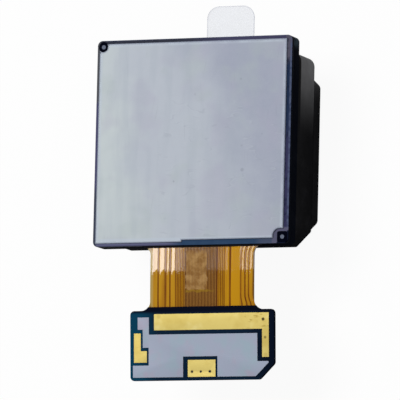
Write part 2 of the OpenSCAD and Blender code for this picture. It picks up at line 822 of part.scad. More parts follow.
module stabiliser_balls_x() {
    color("#e4e6ea") for (x = [-1, 1], y = [-1, 1]) {
        translate([x * ball_spot, y * ball_spot, z_frame + frame_t + layer_gap / 2]) sphere(ois_ball_r);
    }
}

module stabiliser_balls_y() {
    color("#e4e6ea") for (x = [-1, 1], y = [-1, 1]) {
        translate([x * ball_spot, y * ball_spot, z_frame - layer_gap / 2]) sphere(ois_ball_r);
    }
}

// ---- Lens holder and lens ----

module lens_holder() {
    color("#26262a") difference() {
        union() {
            translate([0, 0, z_holder]) slab(2 * holder_half, 2 * holder_half, holder_h, 0.5);
            translate([0, 0, z_nose + nose_h + 0.1])
                cylinder(r = holder_half - 0.1, h = z_holder - z_nose - nose_h);
            translate([holder_half - eps, -magnet_l / 2, z_holder])
                cube([magnet_x - magnet_t - glue - holder_half + eps, magnet_l, holder_h]);
        }
        translate([0, 0, z_nose - eps]) cylinder(r = barrel_r + glue, h = 10);
        // seat of the rear magnet
        translate([-magnet_l / 2 - glue, magnet_y - magnet_t - glue, z_holder - eps])
            cube([magnet_l + 2 * glue, 2, holder_h + 2 * eps]);
        for (x = [-1, 1], y = [-1, 1]) {
            ball_groove(x, y, z_holder + holder_h - ball_seat, 90);
        }
    }
}

module stabiliser_magnet_x() {
    color("#a9adb3") translate([magnet_x - magnet_t, -magnet_l / 2, z_drive])
        cube([magnet_t, magnet_l, magnet_h]);
}

module stabiliser_magnet_y() {
    color("#a9adb3") translate([-magnet_l / 2, magnet_y - magnet_t, z_drive])
        cube([magnet_l, magnet_t, magnet_h]);
}

module lens_barrel() {
    last = len(lens_data) - 1;
    color("#0f0f11") difference() {
        union() {
            translate([0, 0, z_nose]) cylinder(r = nose_r, h = nose_h + eps);
            translate([0, 0, z_nose + nose_h]) cylinder(r = barrel_r, h = barrel_l - nose_h);
        }
        // entrance cone down to the first lens
        translate([0, 0, z_nose - eps])
            cylinder(r1 = 3.6, r2 = lens_data[0][4] + glue, h = flange_front(0) - z_nose + 2 * eps);
        // stepped seat of each lens
        for (i = [0:last]) {
            next = i < last ? flange_front(i + 1) : z_barrel_end;
            translate([0, 0, flange_front(i)])
                cylinder(r = lens_data[i][5] + glue, h = next - flange_front(i) + eps);
        }
        // seat of the retaining ring
        translate([0, 0, flange_rear(last)]) cylinder(r = lens_data[last][5] + 0.1 + glue, h = 3);
    }
}

// One aspheric element with its flange
module lens_element(i) {
    d = lens_data[i];
    steps = 10;
    front = [for (k = [0:steps]) [d[4] * k / steps, z_nose + d[0] + d[2] * pow(k / steps, 2)]];
    rear = [for (k = [steps:-1:0]) [d[4] * k / steps, z_nose + d[0] + d[1] + d[3] * pow(k / steps, 2)]];
    color("#bcd6d2", 0.5) rotate_extrude()
        polygon(concat(front, [[d[5], flange_front(i)], [d[5], flange_rear(i)]], rear));
}

module lens_spacers() {
    color("#101012") for (i = [0:len(lens_data) - 2]) {
        low = flange_rear(i);
        high = flange_front(i + 1);
        clear_r = max(lens_data[i][4], lens_data[i + 1][4]);
        translate([0, 0, low + eps / 2]) difference() {
            cylinder(r = lens_data[i][5] - run, h = high - low - eps);
            translate([0, 0, -eps]) cylinder(r = clear_r + glue, h = high - low + eps);
        }
    }
}

module lens_retainer() {
    last = len(lens_data) - 1;
    clear_r = lens_data[last][4];
    color("#18181a") translate([0, 0, flange_rear(last) + eps]) difference() {
        cylinder(r = lens_data[last][5] + 0.1, h = retainer_h);
        translate([0, 0, -eps]) cylinder(r1 = clear_r, r2 = clear_r + 0.2, h = retainer_h + 2 * eps);
    }
}

lens_film();
front_gasket();
front_cover();
front_stopper();
actuator_can();
actuator_housing();
focus_yoke();
drive_flex();
focus_coil();
stabiliser_coil_x();
stabiliser_coil_y();
position_sensors();
sensor_bracket();
infrared_filter();
image_sensor();
board_chips();
board_capacitors();
main_board();
back_plate();
corner_marks();
flex_cable();
flex_traces();
connector_board();
board_stiffener();
ground_pads();
connector_body();
connector_contacts();
connector_anchors();
focus_carrier();
focus_magnet();
focus_balls();
pull_yokes();
stabiliser_frame();
stabiliser_balls_x();
stabiliser_balls_y();
lens_holder();
stabiliser_magnet_x();
stabiliser_magnet_y();
lens_barrel();
lens_element(0);  // lens_1
lens_element(1);  // lens_2
lens_element(2);  // lens_3
lens_element(3);  // lens_4
lens_element(4);  // lens_5
lens_element(5);  // lens_6
lens_element(6);  // lens_7
lens_spacers();
lens_retainer();
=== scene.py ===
"""Looks of a phone camera module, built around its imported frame.

The module lies lens side down on its protective film, with its sensor side up. All sizes are
in millimetres unless a name says otherwise, and places come from the frame's own boxes.
"""

import logging
import math
from collections.abc import Iterable, Sequence
from dataclasses import dataclass, field
from enum import Enum

import bmesh
import bpy
from mathutils import Matrix, Vector


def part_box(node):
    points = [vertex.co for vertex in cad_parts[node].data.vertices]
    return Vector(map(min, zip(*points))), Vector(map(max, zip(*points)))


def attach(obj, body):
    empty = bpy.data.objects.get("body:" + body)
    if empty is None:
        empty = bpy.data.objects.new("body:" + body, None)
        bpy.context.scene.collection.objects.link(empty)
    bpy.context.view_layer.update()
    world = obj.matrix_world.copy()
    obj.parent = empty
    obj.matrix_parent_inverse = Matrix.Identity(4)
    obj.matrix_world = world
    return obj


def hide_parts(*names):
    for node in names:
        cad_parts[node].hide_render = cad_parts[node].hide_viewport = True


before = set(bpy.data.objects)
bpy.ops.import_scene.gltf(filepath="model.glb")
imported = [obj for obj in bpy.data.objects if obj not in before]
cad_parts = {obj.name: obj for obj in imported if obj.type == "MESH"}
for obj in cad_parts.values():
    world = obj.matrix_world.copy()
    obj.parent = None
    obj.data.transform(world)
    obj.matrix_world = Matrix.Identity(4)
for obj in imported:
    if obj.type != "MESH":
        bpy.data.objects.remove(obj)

log = logging.getLogger("camera_module")
MM = 0.001

Colour = tuple[float, float, float]
Loop = list[Vector]
Socket = bpy.types.NodeSocket


class Body(Enum):
    """Bodies of the frame that a piece can ride on."""

    MODULE = "module"
    FOCUS = "focus_group"
    STABILISER = "frame_group"
    LENS = "lens_group"


def srgb(red: float, green: float, blue: float) -> Colour:
    """Turns a display colour of 0 to 255 into linear light.

    Args:
        red: Red share of the display colour.
        green: Green share of the display colour.
        blue: Blue share of the display colour.

    Returns:
        The colour in linear light, 0 to 1.
    """

    def linear(value: float) -> float:
        """Linear light of one display value."""
        share = value / 255
        return share / 12.92 if share <= 0.04045 else ((share + 0.055) / 1.055) ** 2.4

    return linear(red), linear(green), linear(blue)


def box_mm(node: str) -> tuple[Vector, Vector]:
    """Lowest and highest corner of a frame node, in millimetres."""
    low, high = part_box(node)
    return low / MM, high / MM


def solids_mm(node: str) -> list[tuple[Vector, Vector]]:
    """Finds the separate solids of a frame node.

    Args:
        node: Name of the node.

    Returns:
        The lowest and highest corner of each solid, in millimetres, sorted by place.
    """
    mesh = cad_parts[node].data
    places = [tuple(round(c / MM, 4) for c in v.co) for v in mesh.vertices]
    leader = {place: place for place in places}

    def find(place: tuple[float, ...]) -> tuple[float, ...]:
        """Leader of the group that a place belongs to.

        Args:
            place: Place to look up.

        Returns:
            The group's leading place.
        """
        while leader[place] != place:
            leader[place] = leader[leader[place]]
            place = leader[place]
        return place

    for polygon in mesh.polygons:
        first = find(places[polygon.vertices[0]])
        for index in polygon.vertices[1:]:
            leader[find(places[index])] = first
    groups: dict[tuple[float, ...], list[tuple[float, ...]]] = {}
    for place in leader:
        groups.setdefault(find(place), []).append(place)
    boxes = [
        (Vector(map(min, zip(*group))), Vector(map(max, zip(*group)))) for group in groups.values()
    ]
    return sorted(boxes, key=lambda pair: (round(pair[0].y, 2), pair[0].x))


# ---- Node trees ----


@dataclass
class NodePen:
    """Writes nodes into a shader or geometry tree."""

    tree: bpy.types.NodeTree

    def node(self, kind: str, **settings: object) -> bpy.types.Node:
        """Adds a node and sets its properties.

        Args:
            kind: Blender's name of the node type.
            **settings: Properties of the node.

        Returns:
            The new node.
        """
        made = self.tree.nodes.new(kind)
        for name, value in settings.items():
            setattr(made, name, value)
        return made

    def feed(self, socket: Socket, value: object) -> None:
        """Links a socket to another one, or sets its constant value.

        Args:
            socket: Input to fill.
            value: Socket to link, or a constant.
        """
        if isinstance(value, Socket):
            self.tree.links.new(value, socket)
        elif socket.type == "RGBA" and len(value) == 3:
            socket.default_value = (*value, 1.0)
        else:
            socket.default_value = value

    def math(self, operation: str, *values: object) -> Socket:
        """Result of a math node on up to three values.

        Args:
            operation: Name of the node's operation.
            values: Sockets or numbers, in order.

        Returns:
            The node's result.
        """
        made = self.node("ShaderNodeMath", operation=operation)
        for socket, value in zip(made.inputs, values):
            self.feed(socket, value)
        return made.outputs[0]

    def vector_math(self, operation: str, *values: object) -> Socket:
        """Vector result of a vector math node.

        Args:
            operation: Name of the node's operation.
            values: Sockets or vectors, in order.

        Returns:
            The node's vector result.
        """
        made = self.node("ShaderNodeVectorMath", operation=operation)
        for socket, value in zip(made.inputs, values):
            self.feed(socket, value)
        return made.outputs[0]

    def split(self, vector: Socket) -> tuple[Socket, ...]:
        """X, Y and Z of a vector.

        Args:
            vector: Socket of the vector.

        Returns:
            Sockets of X, Y and Z.
        """
        made = self.node("ShaderNodeSeparateXYZ")
        self.feed(made.inputs[0], vector)
        return tuple(made.outputs)

    def join(self, x: object, y: object, z: object) -> Socket:
        """Vector made from three values.

        Args:
            x: Socket or number for X.
            y: Socket or number for Y.
            z: Socket or number for Z.

        Returns:
            The vector's socket.
        """
        made = self.node("ShaderNodeCombineXYZ")
        for socket, value in zip(made.inputs, (x, y, z)):
            self.feed(socket, value)
        return made.outputs[0]

    def span(
        self, value: object, start: float, end: float, low: float = 0.0, high: float = 1.0
    ) -> Socket:
        """Smooth step of a value from one range to another.

        Args:
            value: Value or socket that runs through the range.
            start: Value at which the result is low.
            end: Value at which the result is high.
            low: Result at the start.
            high: Result at the end.

        Returns:
            The result's socket.
        """
        made = self.node("ShaderNodeMapRange", interpolation_type="SMOOTHSTEP")
        for socket, number in zip(made.inputs, (value, start, end, low, high)):
            self.feed(socket, number)
        return made.outputs[0]


@dataclass
class SurfacePen(NodePen):
    """Writes the nodes of a material, with patterns measured in millimetres."""

    place: Socket = field(init=False)
    shader: bpy.types.Node = field(init=False)

    def __post_init__(self) -> None:
        """Starts the tree with its coordinates and its surface shader."""
        self.tree.nodes.clear()
        coordinates = self.node("ShaderNodeTexCoord")
        self.place = self.vector_math("MULTIPLY", coordinates.outputs["Object"], (1 / MM,) * 3)
        self.shader = self.node("ShaderNodeBsdfPrincipled")
        output = self.node("ShaderNodeOutputMaterial")
        self.tree.links.new(self.shader.outputs[0], output.inputs["Surface"])

    def surface(self, **values: object) -> None:
        """Sets sockets of the surface shader by name, with _ for a space."""
        for name, value in values.items():
            self.feed(self.shader.inputs[name.replace("_", " ")], value)

    def noise(
        self,
        per_mm: float,
        detail: float = 2.0,
        stretch: tuple[float, float, float] = (1.0, 1.0, 1.0),
        shift: float = 0.0,
        roughness: float = 0.5,
    ) -> Socket:
        """Noise value about 0.5.

        Args:
            per_mm: Number of features in a millimetre.
            detail: Octaves of finer noise.
            stretch: Factor on each axis, below 1 for features that run along it.
            shift: Offset that makes one noise unlike another.
            roughness: Share of the finer octaves.

        Returns:
            The value's socket.
        """
        made = self.node("ShaderNodeTexNoise")
        moved = self.vector_math("MULTIPLY_ADD", self.place, stretch, (shift, shift * 0.7, shift))
        self.feed(made.inputs["Vector"], moved)
        self.feed(made.inputs["Scale"], per_mm)
        self.feed(made.inputs["Detail"], detail)
        self.feed(made.inputs["Roughness"], roughness)
        return made.outputs["Fac"]

    def flecks(self, per_mm: float, size: float, share: float, shift: float = 0.0) -> Socket:
        """Sparse round flecks, 1 inside a fleck.

        Args:
            per_mm: Cells in a millimetre.
            size: Radius of a fleck as a share of its cell.
            share: Share of the cells that hold one.
            shift: Offset that makes one pattern unlike another.

        Returns:
            The mask's socket.
        """
        made = self.node("ShaderNodeTexVoronoi", feature="F1")
        self.feed(made.inputs["Vector"], self.vector_math("ADD", self.place, (shift,) * 3))
        self.feed(made.inputs["Scale"], per_mm)
        held = self.math("LESS_THAN", self.split(made.outputs["Color"])[0], share)
        return self.math("MULTIPLY", held, self.span(made.outputs["Distance"], size, size * 0.5))

    def scratches(self, angle: float, share: float, shift: float = 0.0) -> Socket:
        """Fine scratches along one direction, 1 inside a scratch.

        Args:
            angle: Direction in the XY plane, in degrees.
            share: How much of the noise counts as a scratch, about 0.02 to 0.1.
            shift: Offset that makes one pattern unlike another.

        Returns:
            The mask's socket.
        """
        turn = self.node("ShaderNodeVectorRotate", rotation_type="Z_AXIS")
        self.feed(turn.inputs["Vector"], self.place)
        self.feed(turn.inputs["Angle"], math.radians(angle))
        made = self.node("ShaderNodeTexNoise")
        thin = self.vector_math("MULTIPLY_ADD", turn.outputs[0], (0.22, 9.0, 1.0), (shift,) * 3)
        self.feed(made.inputs["Vector"], thin)
        self.feed(made.inputs["Scale"], 1.0)
        self.feed(made.inputs["Detail"], 1.0)
        line = self.span(made.outputs["Fac"], 0.72 - share, 0.74)
        patch = self.span(self.noise(0.35, 1.0, shift=shift + 4.0), 0.45, 0.65)
        return self.math("MULTIPLY", line, patch)

    def blend(self, share: object, first: object, second: object) -> Socket:
        """Colour between two colours.

        Args:
            share: 0 for the first colour, 1 for the second.
            first: First colour or socket.
            second: Second colour or socket.

        Returns:
            The colour's socket.
        """
        made = self.node("ShaderNodeMix", data_type="RGBA", clamp_factor=True)
        self.feed(made.inputs["Factor"], share)
        self.feed(made.inputs[6], first)
        self.feed(made.inputs[7], second)
        return made.outputs[2]

    def attribute(self, name: str) -> Socket:
        """Value of a piece's own attribute."""
        return self.node("ShaderNodeAttribute", attribute_name=name).outputs["Fac"]

    def product(self, first: object, *others: object) -> Socket:
        """Product of two or more masks or numbers.

        Args:
            first: First socket or number.
            others: Further sockets or numbers.

        Returns:
            The product's socket.
        """
        for other in others:
            first = self.math("MULTIPLY", first, other)
        return first

    def spot(self, x: float, y: float, radius: float, strength: float) -> Socket:
        """Round spot with a soft edge, seen along Z.

        Args:
            x: Place of its middle, in millimetres.
            y: Place of its middle, in millimetres.
            radius: Radius in millimetres.
            strength: Value in its middle.

        Returns:
            The mask's socket.
        """
        squares = []
        for place, middle in zip(self.split(self.place), (x, y)):
            off = self.math("SUBTRACT", place, middle)
            squares.append(self.math("MULTIPLY", off, off))
        distance = self.math("SQRT", self.math("ADD", *squares))
        return self.span(distance, radius, radius * 0.4, 0.0, strength)

    def retone(self, share: object, colour: Colour) -> None:
        """Blends a colour over the one that the surface already has.

        Args:
            share: Share of the new colour.
            colour: The new colour.
        """
        socket = self.shader.inputs["Base Color"]
        self.feed(socket, self.blend(share, socket.links[0].from_socket, colour))

    def bump(self, height: object, depth: float, strength: float = 1.0) -> None:
        """Gives the surface a relief.

        Args:
            height: Height value, 0 to 1.
            depth: Depth of the relief in millimetres.
            strength: Strength of its effect.
        """
        made = self.node("ShaderNodeBump")
        self.feed(made.inputs["Height"], height)
        self.feed(made.inputs["Distance"], depth * MM)
        self.feed(made.inputs["Strength"], strength)
        self.feed(self.shader.inputs["Normal"], made.outputs[0])


@dataclass(frozen=True)
class Finish:
    """A surface finish that paints one material."""

    name: str

    def material(self) -> bpy.types.Material:
        """The finish's material, painted when it is first asked for.

        Returns:
            The painted material.
        """
        title = f"{self.name}_finish"
        found = bpy.data.materials.get(title)
        if found is None:
            found = bpy.data.materials.new(title)
            found.use_nodes = True
            self.paint(SurfacePen(found.node_tree))
        return found

    def paint(self, pen: SurfacePen) -> None:
        """Writes the finish's nodes with the pen."""
        raise NotImplementedError


@dataclass(frozen=True)
class PlateFinish(Finish):
    """Matt blue-grey metal sheet, softly mottled, with small specks and faint scratches, and with light and
    shade painted across it, on its creases and on its rim.
    """

    middle: Colour = srgb(188, 195, 206)
    pale: Colour = srgb(200, 209, 212)
    painted_shade_right: Colour = srgb(165, 171, 189)
    # rim is a painted highlight inside the plate's edge; grey is painted shade on its rolled-off edge.
    rim: Colour = srgb(194, 205, 218)
    grey: Colour = srgb(126, 134, 156)
    half_width: float = 9.7
    half_step: float = 0.1

    def paint(self, pen: SurfacePen) -> None:
        """Mottles from the pale left to the darker right as painted light, then adds wear, the creases'
        painted shading and the rim's painted highlight and shade.

        Args:
            pen: Pen of the material.
        """
        grain = pen.noise(9.0, 3.0, roughness=0.7)
        lines = pen.math(
            "MAXIMUM", pen.scratches(86.0, 0.012), pen.scratches(-80.0, 0.012, shift=17.0)
        )
        tone = self.mottle(pen)
        tone = pen.blend(pen.span(grain, 0.3, 0.75, 0.0, 0.08), tone, srgb(210, 216, 222))
        specks = pen.math("MAXIMUM", pen.flecks(0.42, 0.1, 0.22), pen.flecks(0.9, 0.12, 0.08, 4.0))
        tone = pen.blend(pen.product(specks, 0.3), tone, srgb(118, 124, 136))
        tone = pen.blend(pen.product(lines, 0.14), tone, srgb(140, 146, 156))
        bands = pen.noise(0.9, 3.0, stretch=(1.0, 0.12, 1.0), shift=23.0)
        tone = pen.blend(pen.span(bands, 0.42, 0.66, 0.0, 0.22), tone, srgb(168, 178, 190))
        tone = self.creases(pen, tone)
        # Painted highlight in a pale strip inside the plate's edges.
        tone = pen.blend(self.painted_rim_highlight(pen), tone, self.rim)
        # Painted shade on the rounded edge and side, where the rim attribute is set.
        tone = pen.blend(pen.product(pen.attribute("rim"), 0.7), tone, self.grey)
        pen.surface(
            Base_Color=tone,
            Roughness=pen.span(pen.noise(1.2, 2.0, shift=5.0), 0.3, 0.7, 0.5, 0.6),
            Specular_IOR_Level=0.1,
        )
        pen.bump(pen.math("MULTIPLY_ADD", lines, -0.5, grain), 0.006, 0.5)

    def mottle(self, pen: SurfacePen) -> Socket:
        """Colour of the clean sheet in soft patches, with painted light: pale to the left, darker to the
        right.

        Args:
            pen: Pen of the material.

        Returns:
            The colour's socket.
        """
        x, y, _ = pen.split(pen.place)
        # Painted light: pale on the left, darker on the right, as from a lamp on the left.
        drift = pen.math("MULTIPLY_ADD", y, 0.25, x)
        wander = pen.math("MULTIPLY_ADD", pen.noise(0.16, 3.0), 14.0, -7.0)
        across = pen.math("ADD", drift, wander)
        tone = pen.blend(pen.span(across, -self.half_width, -3.0, 1.0, 0.0), self.middle, self.pale)
        tone = pen.blend(pen.span(across, -2.0, 8.0), tone, self.painted_shade_right)
        green = pen.span(pen.noise(0.3, 2.0, shift=9.0), 0.52, 0.7, 0.0, 0.35)
        tone = pen.blend(green, tone, srgb(178, 190, 191))
        mauve = pen.span(pen.noise(0.26, 2.0, shift=31.0), 0.5, 0.68, 0.0, 0.3)
        return pen.blend(mauve, tone, srgb(176, 174, 195))

    def painted_rim_highlight(self, pen: SurfacePen) -> Socket:
        """Mask of the painted highlight: a paler strip inside the plate's edges, strongest at the flex.

        Args:
            pen: Pen of the material.

        Returns:
            The mask's socket.
        """
        x, y, _ = pen.split(pen.place)
        low, high = box_mm("back_plate")
        gaps = [pen.math("SUBTRACT", x, low.x), pen.math("SUBTRACT", high.x, x)]
        gaps += [pen.math("SUBTRACT", y, low.y + self.half_step), pen.math("SUBTRACT", high.y, y)]
        inside = gaps[0]
        for gap in gaps[1:]:
            inside = pen.math("MINIMUM", inside, gap)
        patchy = pen.span(pen.noise(0.45, 2.0, shift=33.0), 0.35, 0.65, 0.12, 0.6)
        paler = pen.math("MAXIMUM", patchy, pen.span(y, -4.0, -8.0, 0.0, 0.6))
        return pen.product(pen.span(inside, 0.4, 0.24), paler)

    def creases(self, pen: SurfacePen, tone: Socket) -> Socket:
        """Adds faint short creases, each painted as a dark line of shade beside a pale line of highlight.

        Args:
            pen: Pen of the material.
            tone: Colour of the sheet.

        Returns:
            The colour with the creases.
        """
        x, y, _ = pen.split(pen.place)
        patches = pen.span(pen.noise(0.6, 2.0, shift=44.0), 0.5, 0.6)
        creased = pen.product(patches, pen.span(x, -4.5, -2.5), pen.span(y, 5.5, 3.5))
        level = pen.noise(0.8, 1.0, stretch=(0.5, 1.5, 1.0), shift=51.0)
        # Painted shade and highlight: the dark and the pale line of each crease.
        for ridge, colour in ((0.5, srgb(152, 158, 172)), (0.53, srgb(198, 205, 214))):
            off = pen.math("ABSOLUTE", pen.math("SUBTRACT", level, ridge))
            line = pen.span(off, 0.03, 0.004, 0.0, 0.2)
            tone = pen.blend(pen.product(line, creased), tone, colour)
        return tone


@dataclass(frozen=True)
class SolderMask(Finish):
    """Solder mask in soft shifts of colour over dark layered sides."""

    base: Colour = srgb(16, 34, 54)
    tints: tuple[Colour, Colour] = (srgb(12, 62, 88), srgb(10, 14, 30))
    laminate: Colour = srgb(6, 9, 18)

    def paint(self, pen: SurfacePen) -> None:
        """Tones the mask, darkens the sides and adds a fine relief.

        Args:
            pen: Pen of the material.
        """
        tone = self.tone(pen)
        geometry = pen.node("ShaderNodeNewGeometry")
        upward = pen.split(geometry.outputs["Normal"])[2]
        layers = pen.math("FRACT", pen.math("MULTIPLY", pen.split(pen.place)[2], 8.0))
        side = pen.blend(pen.span(layers, 0.3, 0.6, 0.0, 0.3), self.laminate, srgb(20, 22, 34))
        flat = pen.span(pen.math("ABSOLUTE", upward), 0.35, 0.8)
        tone = pen.blend(flat, side, tone)
        pen.surface(Base_Color=tone, Roughness=0.42, Specular_IOR_Level=0.02, IOR=1.15)
        pen.bump(pen.noise(5.0, 3.0, shift=2.0), 0.004, 0.4)

    def tone(self, pen: SurfacePen) -> Socket:
        """Colour of the mask: teal to the left, darker to the right and at the flex.

        Args:
            pen: Pen of the material.

        Returns:
            The colour's socket.
        """
        x, y, _ = pen.split(pen.place)
        wander = pen.math("MULTIPLY_ADD", pen.noise(0.35, 2.0, shift=3.0), 3.0, -1.5)
        across = pen.math("ADD", x, wander)
        tone = pen.blend(pen.span(across, -3.0, -5.6), self.base, self.tints[0])
        tone = pen.blend(pen.span(across, 5.5, 8.2, 0.0, 0.8), tone, self.tints[1])
        near_flex = pen.span(y, -16.1, -15.75)
        return pen.blend(near_flex, tone, self.tints[1])


@dataclass(frozen=True)
class BoardMask(SolderMask):
    """Mask of the main board, with a painted highlight along its outer edge and black clearings at the marks.
    """

    window: tuple[float, float, float] = (9.38, -8.88, 0.5)

    def tone(self, pen: SurfacePen) -> Socket:
        """Colour of the mask along its four borders, partly painted sheen.

        Args:
            pen: Pen of the material.

        Returns:
            The colour's socket.
        """
        x, y, z = pen.split(pen.place)
        _, high = box_mm("main_board")
        rag = pen.noise(1.6, 3.0, shift=5.0)
        drift = pen.math("MULTIPLY_ADD", pen.noise(0.5, 2.0, shift=1.0), 2.4, -1.2)
        along = pen.math("ADD", y, drift)
        # Partly painted sheen: the pale grey-blue tones below stand partly for the key light's sheen, as the
        # mask barely reflects.
        tone = pen.blend(rag, srgb(40, 44, 56), srgb(62, 64, 76))
        tone = pen.blend(pen.span(x, -2.0, 4.0, 0.0, 0.8), tone, srgb(72, 70, 100))
        tone = pen.blend(pen.span(y, -8.7, -8.95), tone, self.front_border(pen, rag))
        left = pen.blend(pen.span(along, -4.5, -3.5), srgb(66, 72, 88), srgb(78, 78, 110))
        left = pen.blend(pen.span(along, 4.4, 5.6), left, srgb(84, 86, 92))
        tone = pen.blend(pen.span(x, -9.6, -9.75), tone, left)
        right = pen.blend(pen.span(along, 3.0, -1.0), srgb(36, 50, 78), srgb(56, 56, 88))
        right = pen.blend(pen.span(along, 7.9, 8.9), right, srgb(88, 86, 102))
        right = pen.blend(pen.span(rag, 0.5, 0.64, 0.0, 0.6), right, srgb(26, 34, 56))
        tone = pen.blend(pen.span(x, 9.3, 9.45), tone, right)
        # Painted highlight along the board's outer right edge and back edge.
        outer = pen.span(x, high.x - 0.26, high.x - 0.14)
        back = pen.span(y, high.y - 0.1, high.y - 0.04, 0.0, 0.6)
        lightened = pen.product(pen.math("MAXIMUM", outer, back), pen.span(rag, 0.36, 0.56, 0.3, 0.9))
        tone = pen.blend(lightened, tone, srgb(86, 96, 124))
        tone = pen.blend(self.notch_strip(pen, x, y), tone, srgb(96, 96, 120))
        tone = pen.blend(self.outside_window(pen, x, y), tone, srgb(20, 26, 46))
        sunk = pen.span(z, high.z - 0.01, high.z - 0.03)
        return pen.blend(sunk, tone, srgb(4, 6, 20))

    def front_border(self, pen: SurfacePen, rag: Socket) -> Socket:
        """Colour of the border at the flex: lilac to the left, blue, and grey to the right.

        Args:
            pen: Pen of the material.
            rag: Noise that roughens the colours.

        Returns:
            The colour's socket.
        """
        x, y, _ = pen.split(pen.place)
        tone = pen.blend(rag, srgb(42, 64, 94), srgb(56, 80, 110))
        tone = pen.blend(pen.span(x, 6.4, 7.6), tone, srgb(74, 84, 108))
        lilac = pen.blend(pen.span(y, -9.28, -9.5), srgb(104, 106, 138), srgb(70, 72, 98))
        return pen.blend(pen.span(x, -0.6, -2.6), tone, lilac)

    def notch_strip(self, pen: SurfacePen, x: Socket, y: Socket) -> Socket:
        """Mask of the paler strip between the plate's front notch and the clearing.

        Args:
            pen: Pen of the material.
            x: Place across the board.
            y: Place along the board.

        Returns:
            The mask's socket.
        """
        across = pen.span(x, 8.28, 8.42)
        return pen.math("MULTIPLY", across, pen.span(y, -7.9, -8.06, 0.0, 0.9))

    def outside_window(self, pen: SurfacePen, x: Socket, y: Socket) -> Socket:
        """Mask of the board between the front clearing and the board's corner.

        Args:
            pen: Pen of the material.
            x: Place across the board.
            y: Place along the board.

        Returns:
            The mask's socket.
        """
        centre_x, centre_y, half = self.window
        right = pen.math(
            "MULTIPLY",
            pen.span(x, centre_x + half - 0.06, centre_x + half),
            pen.span(y, centre_y + half + 0.2, centre_y + half),
        )
        below = pen.math(
            "MULTIPLY",
            pen.span(y, centre_y - half + 0.06, centre_y - half),
            pen.span(x, centre_x - half - 0.1, centre_x - half),
        )
        return pen.math("MAXIMUM", right, below)


@dataclass(frozen=True)
class SatinBlack(Finish):
    """Satin black coat or moulding with a fine grain and a dusty bloom."""

    base: Colour = srgb(17, 17, 19)
    bloom: Colour = srgb(42, 42, 46)
    bloom_share: float = 0.3
    roughness: float = 0.5
    grain_per_mm: float = 14.0
    grain_depth: float = 0.006
    coat: float = 0.05
    specular: float = 0.0
    ior: float = 1.05

    def paint(self, pen: SurfacePen) -> None:
        """Clouds the black with bloom and gives it its grain.

        Args:
            pen: Pen of the material.
        """
        cloud = pen.span(pen.noise(0.5, 3.0, shift=6.0), 0.42, 0.8, 0.0, self.bloom_share)
        tone = pen.blend(cloud, self.base, self.bloom)
        grain = pen.noise(self.grain_per_mm, 3.0, roughness=0.6)
        tone = pen.blend(pen.span(grain, 0.55, 0.8, 0.0, 0.25), tone, self.bloom)
        dust = pen.flecks(1.6, 0.16, 0.1, shift=3.0)
        tone = pen.blend(pen.math("MULTIPLY", dust, 0.25), tone, srgb(130, 130, 132))
        pen.surface(
            Base_Color=tone,
            Roughness=pen.span(grain, 0.2, 0.8, self.roughness - 0.06, self.roughness + 0.06),
            Specular_IOR_Level=self.specular,
            IOR=self.ior,
            Coat_Weight=self.coat,
            Coat_Roughness=0.35,
        )
        pen.bump(grain, self.grain_depth, 0.5)


@dataclass(frozen=True)
class CanFinish(SatinBlack):
    """Satin black sheet with a painted sheen that turns it grey towards its back right corner."""

    painted_sheen: Colour = srgb(118, 118, 120)
    back: float = 9.15
    reach: float = 8.6
    joint_z: float = 6.75

    def paint(self, pen: SurfacePen) -> None:
        """Adds the painted sheen of the back right corner to the satin black.

        Args:
            pen: Pen of the material.
        """
        super().paint(pen)
        x, y, z = pen.split(pen.place)
        # Painted sheen: grey towards the back and the right, up to joint_z only.
        along = pen.math("POWER", pen.span(y, self.back - self.reach, self.back - 0.2), 1.3)
        right = pen.span(x, 4.0, 9.0)
        below = pen.span(z, self.joint_z + 0.15, self.joint_z - 0.1)
        wander = pen.span(pen.noise(0.8, 3.0, shift=14.0), 0.2, 0.8, 0.8, 1.0)
        pen.retone(pen.product(along, right, wander, below), self.painted_sheen)


@dataclass(frozen=True)
class PaleCornerBracket(SatinBlack):
    """Near-black moulding, paler teal-grey high on its back right corner."""

    lightened: Colour = srgb(52, 64, 72)
    corner: tuple[float, float] = (10.0, 10.5)

    def paint(self, pen: SurfacePen) -> None:
        """Blends the paler teal-grey patch over the near-black.

        Args:
            pen: Pen of the material.
        """
        super().paint(pen)
        x, y, z = pen.split(pen.place)
        right = pen.span(x, self.corner[0] - 1.0, self.corner[0] - 0.6)
        back = pen.span(y, self.corner[1] - 1.5, self.corner[1] - 0.5)
        height = pen.span(z, 7.3, 8.0, 0.2, 1.0)
        smear = pen.span(pen.noise(1.2, 3.0, shift=3.0), 0.3, 0.6, 0.4, 1.0)
        pen.retone(pen.product(right, back, height, smear), self.lightened)


@dataclass(frozen=True)
class Pit:
    """Small dark pit in a plated pad."""

    x: float
    y: float
    radius: float
    strength: float


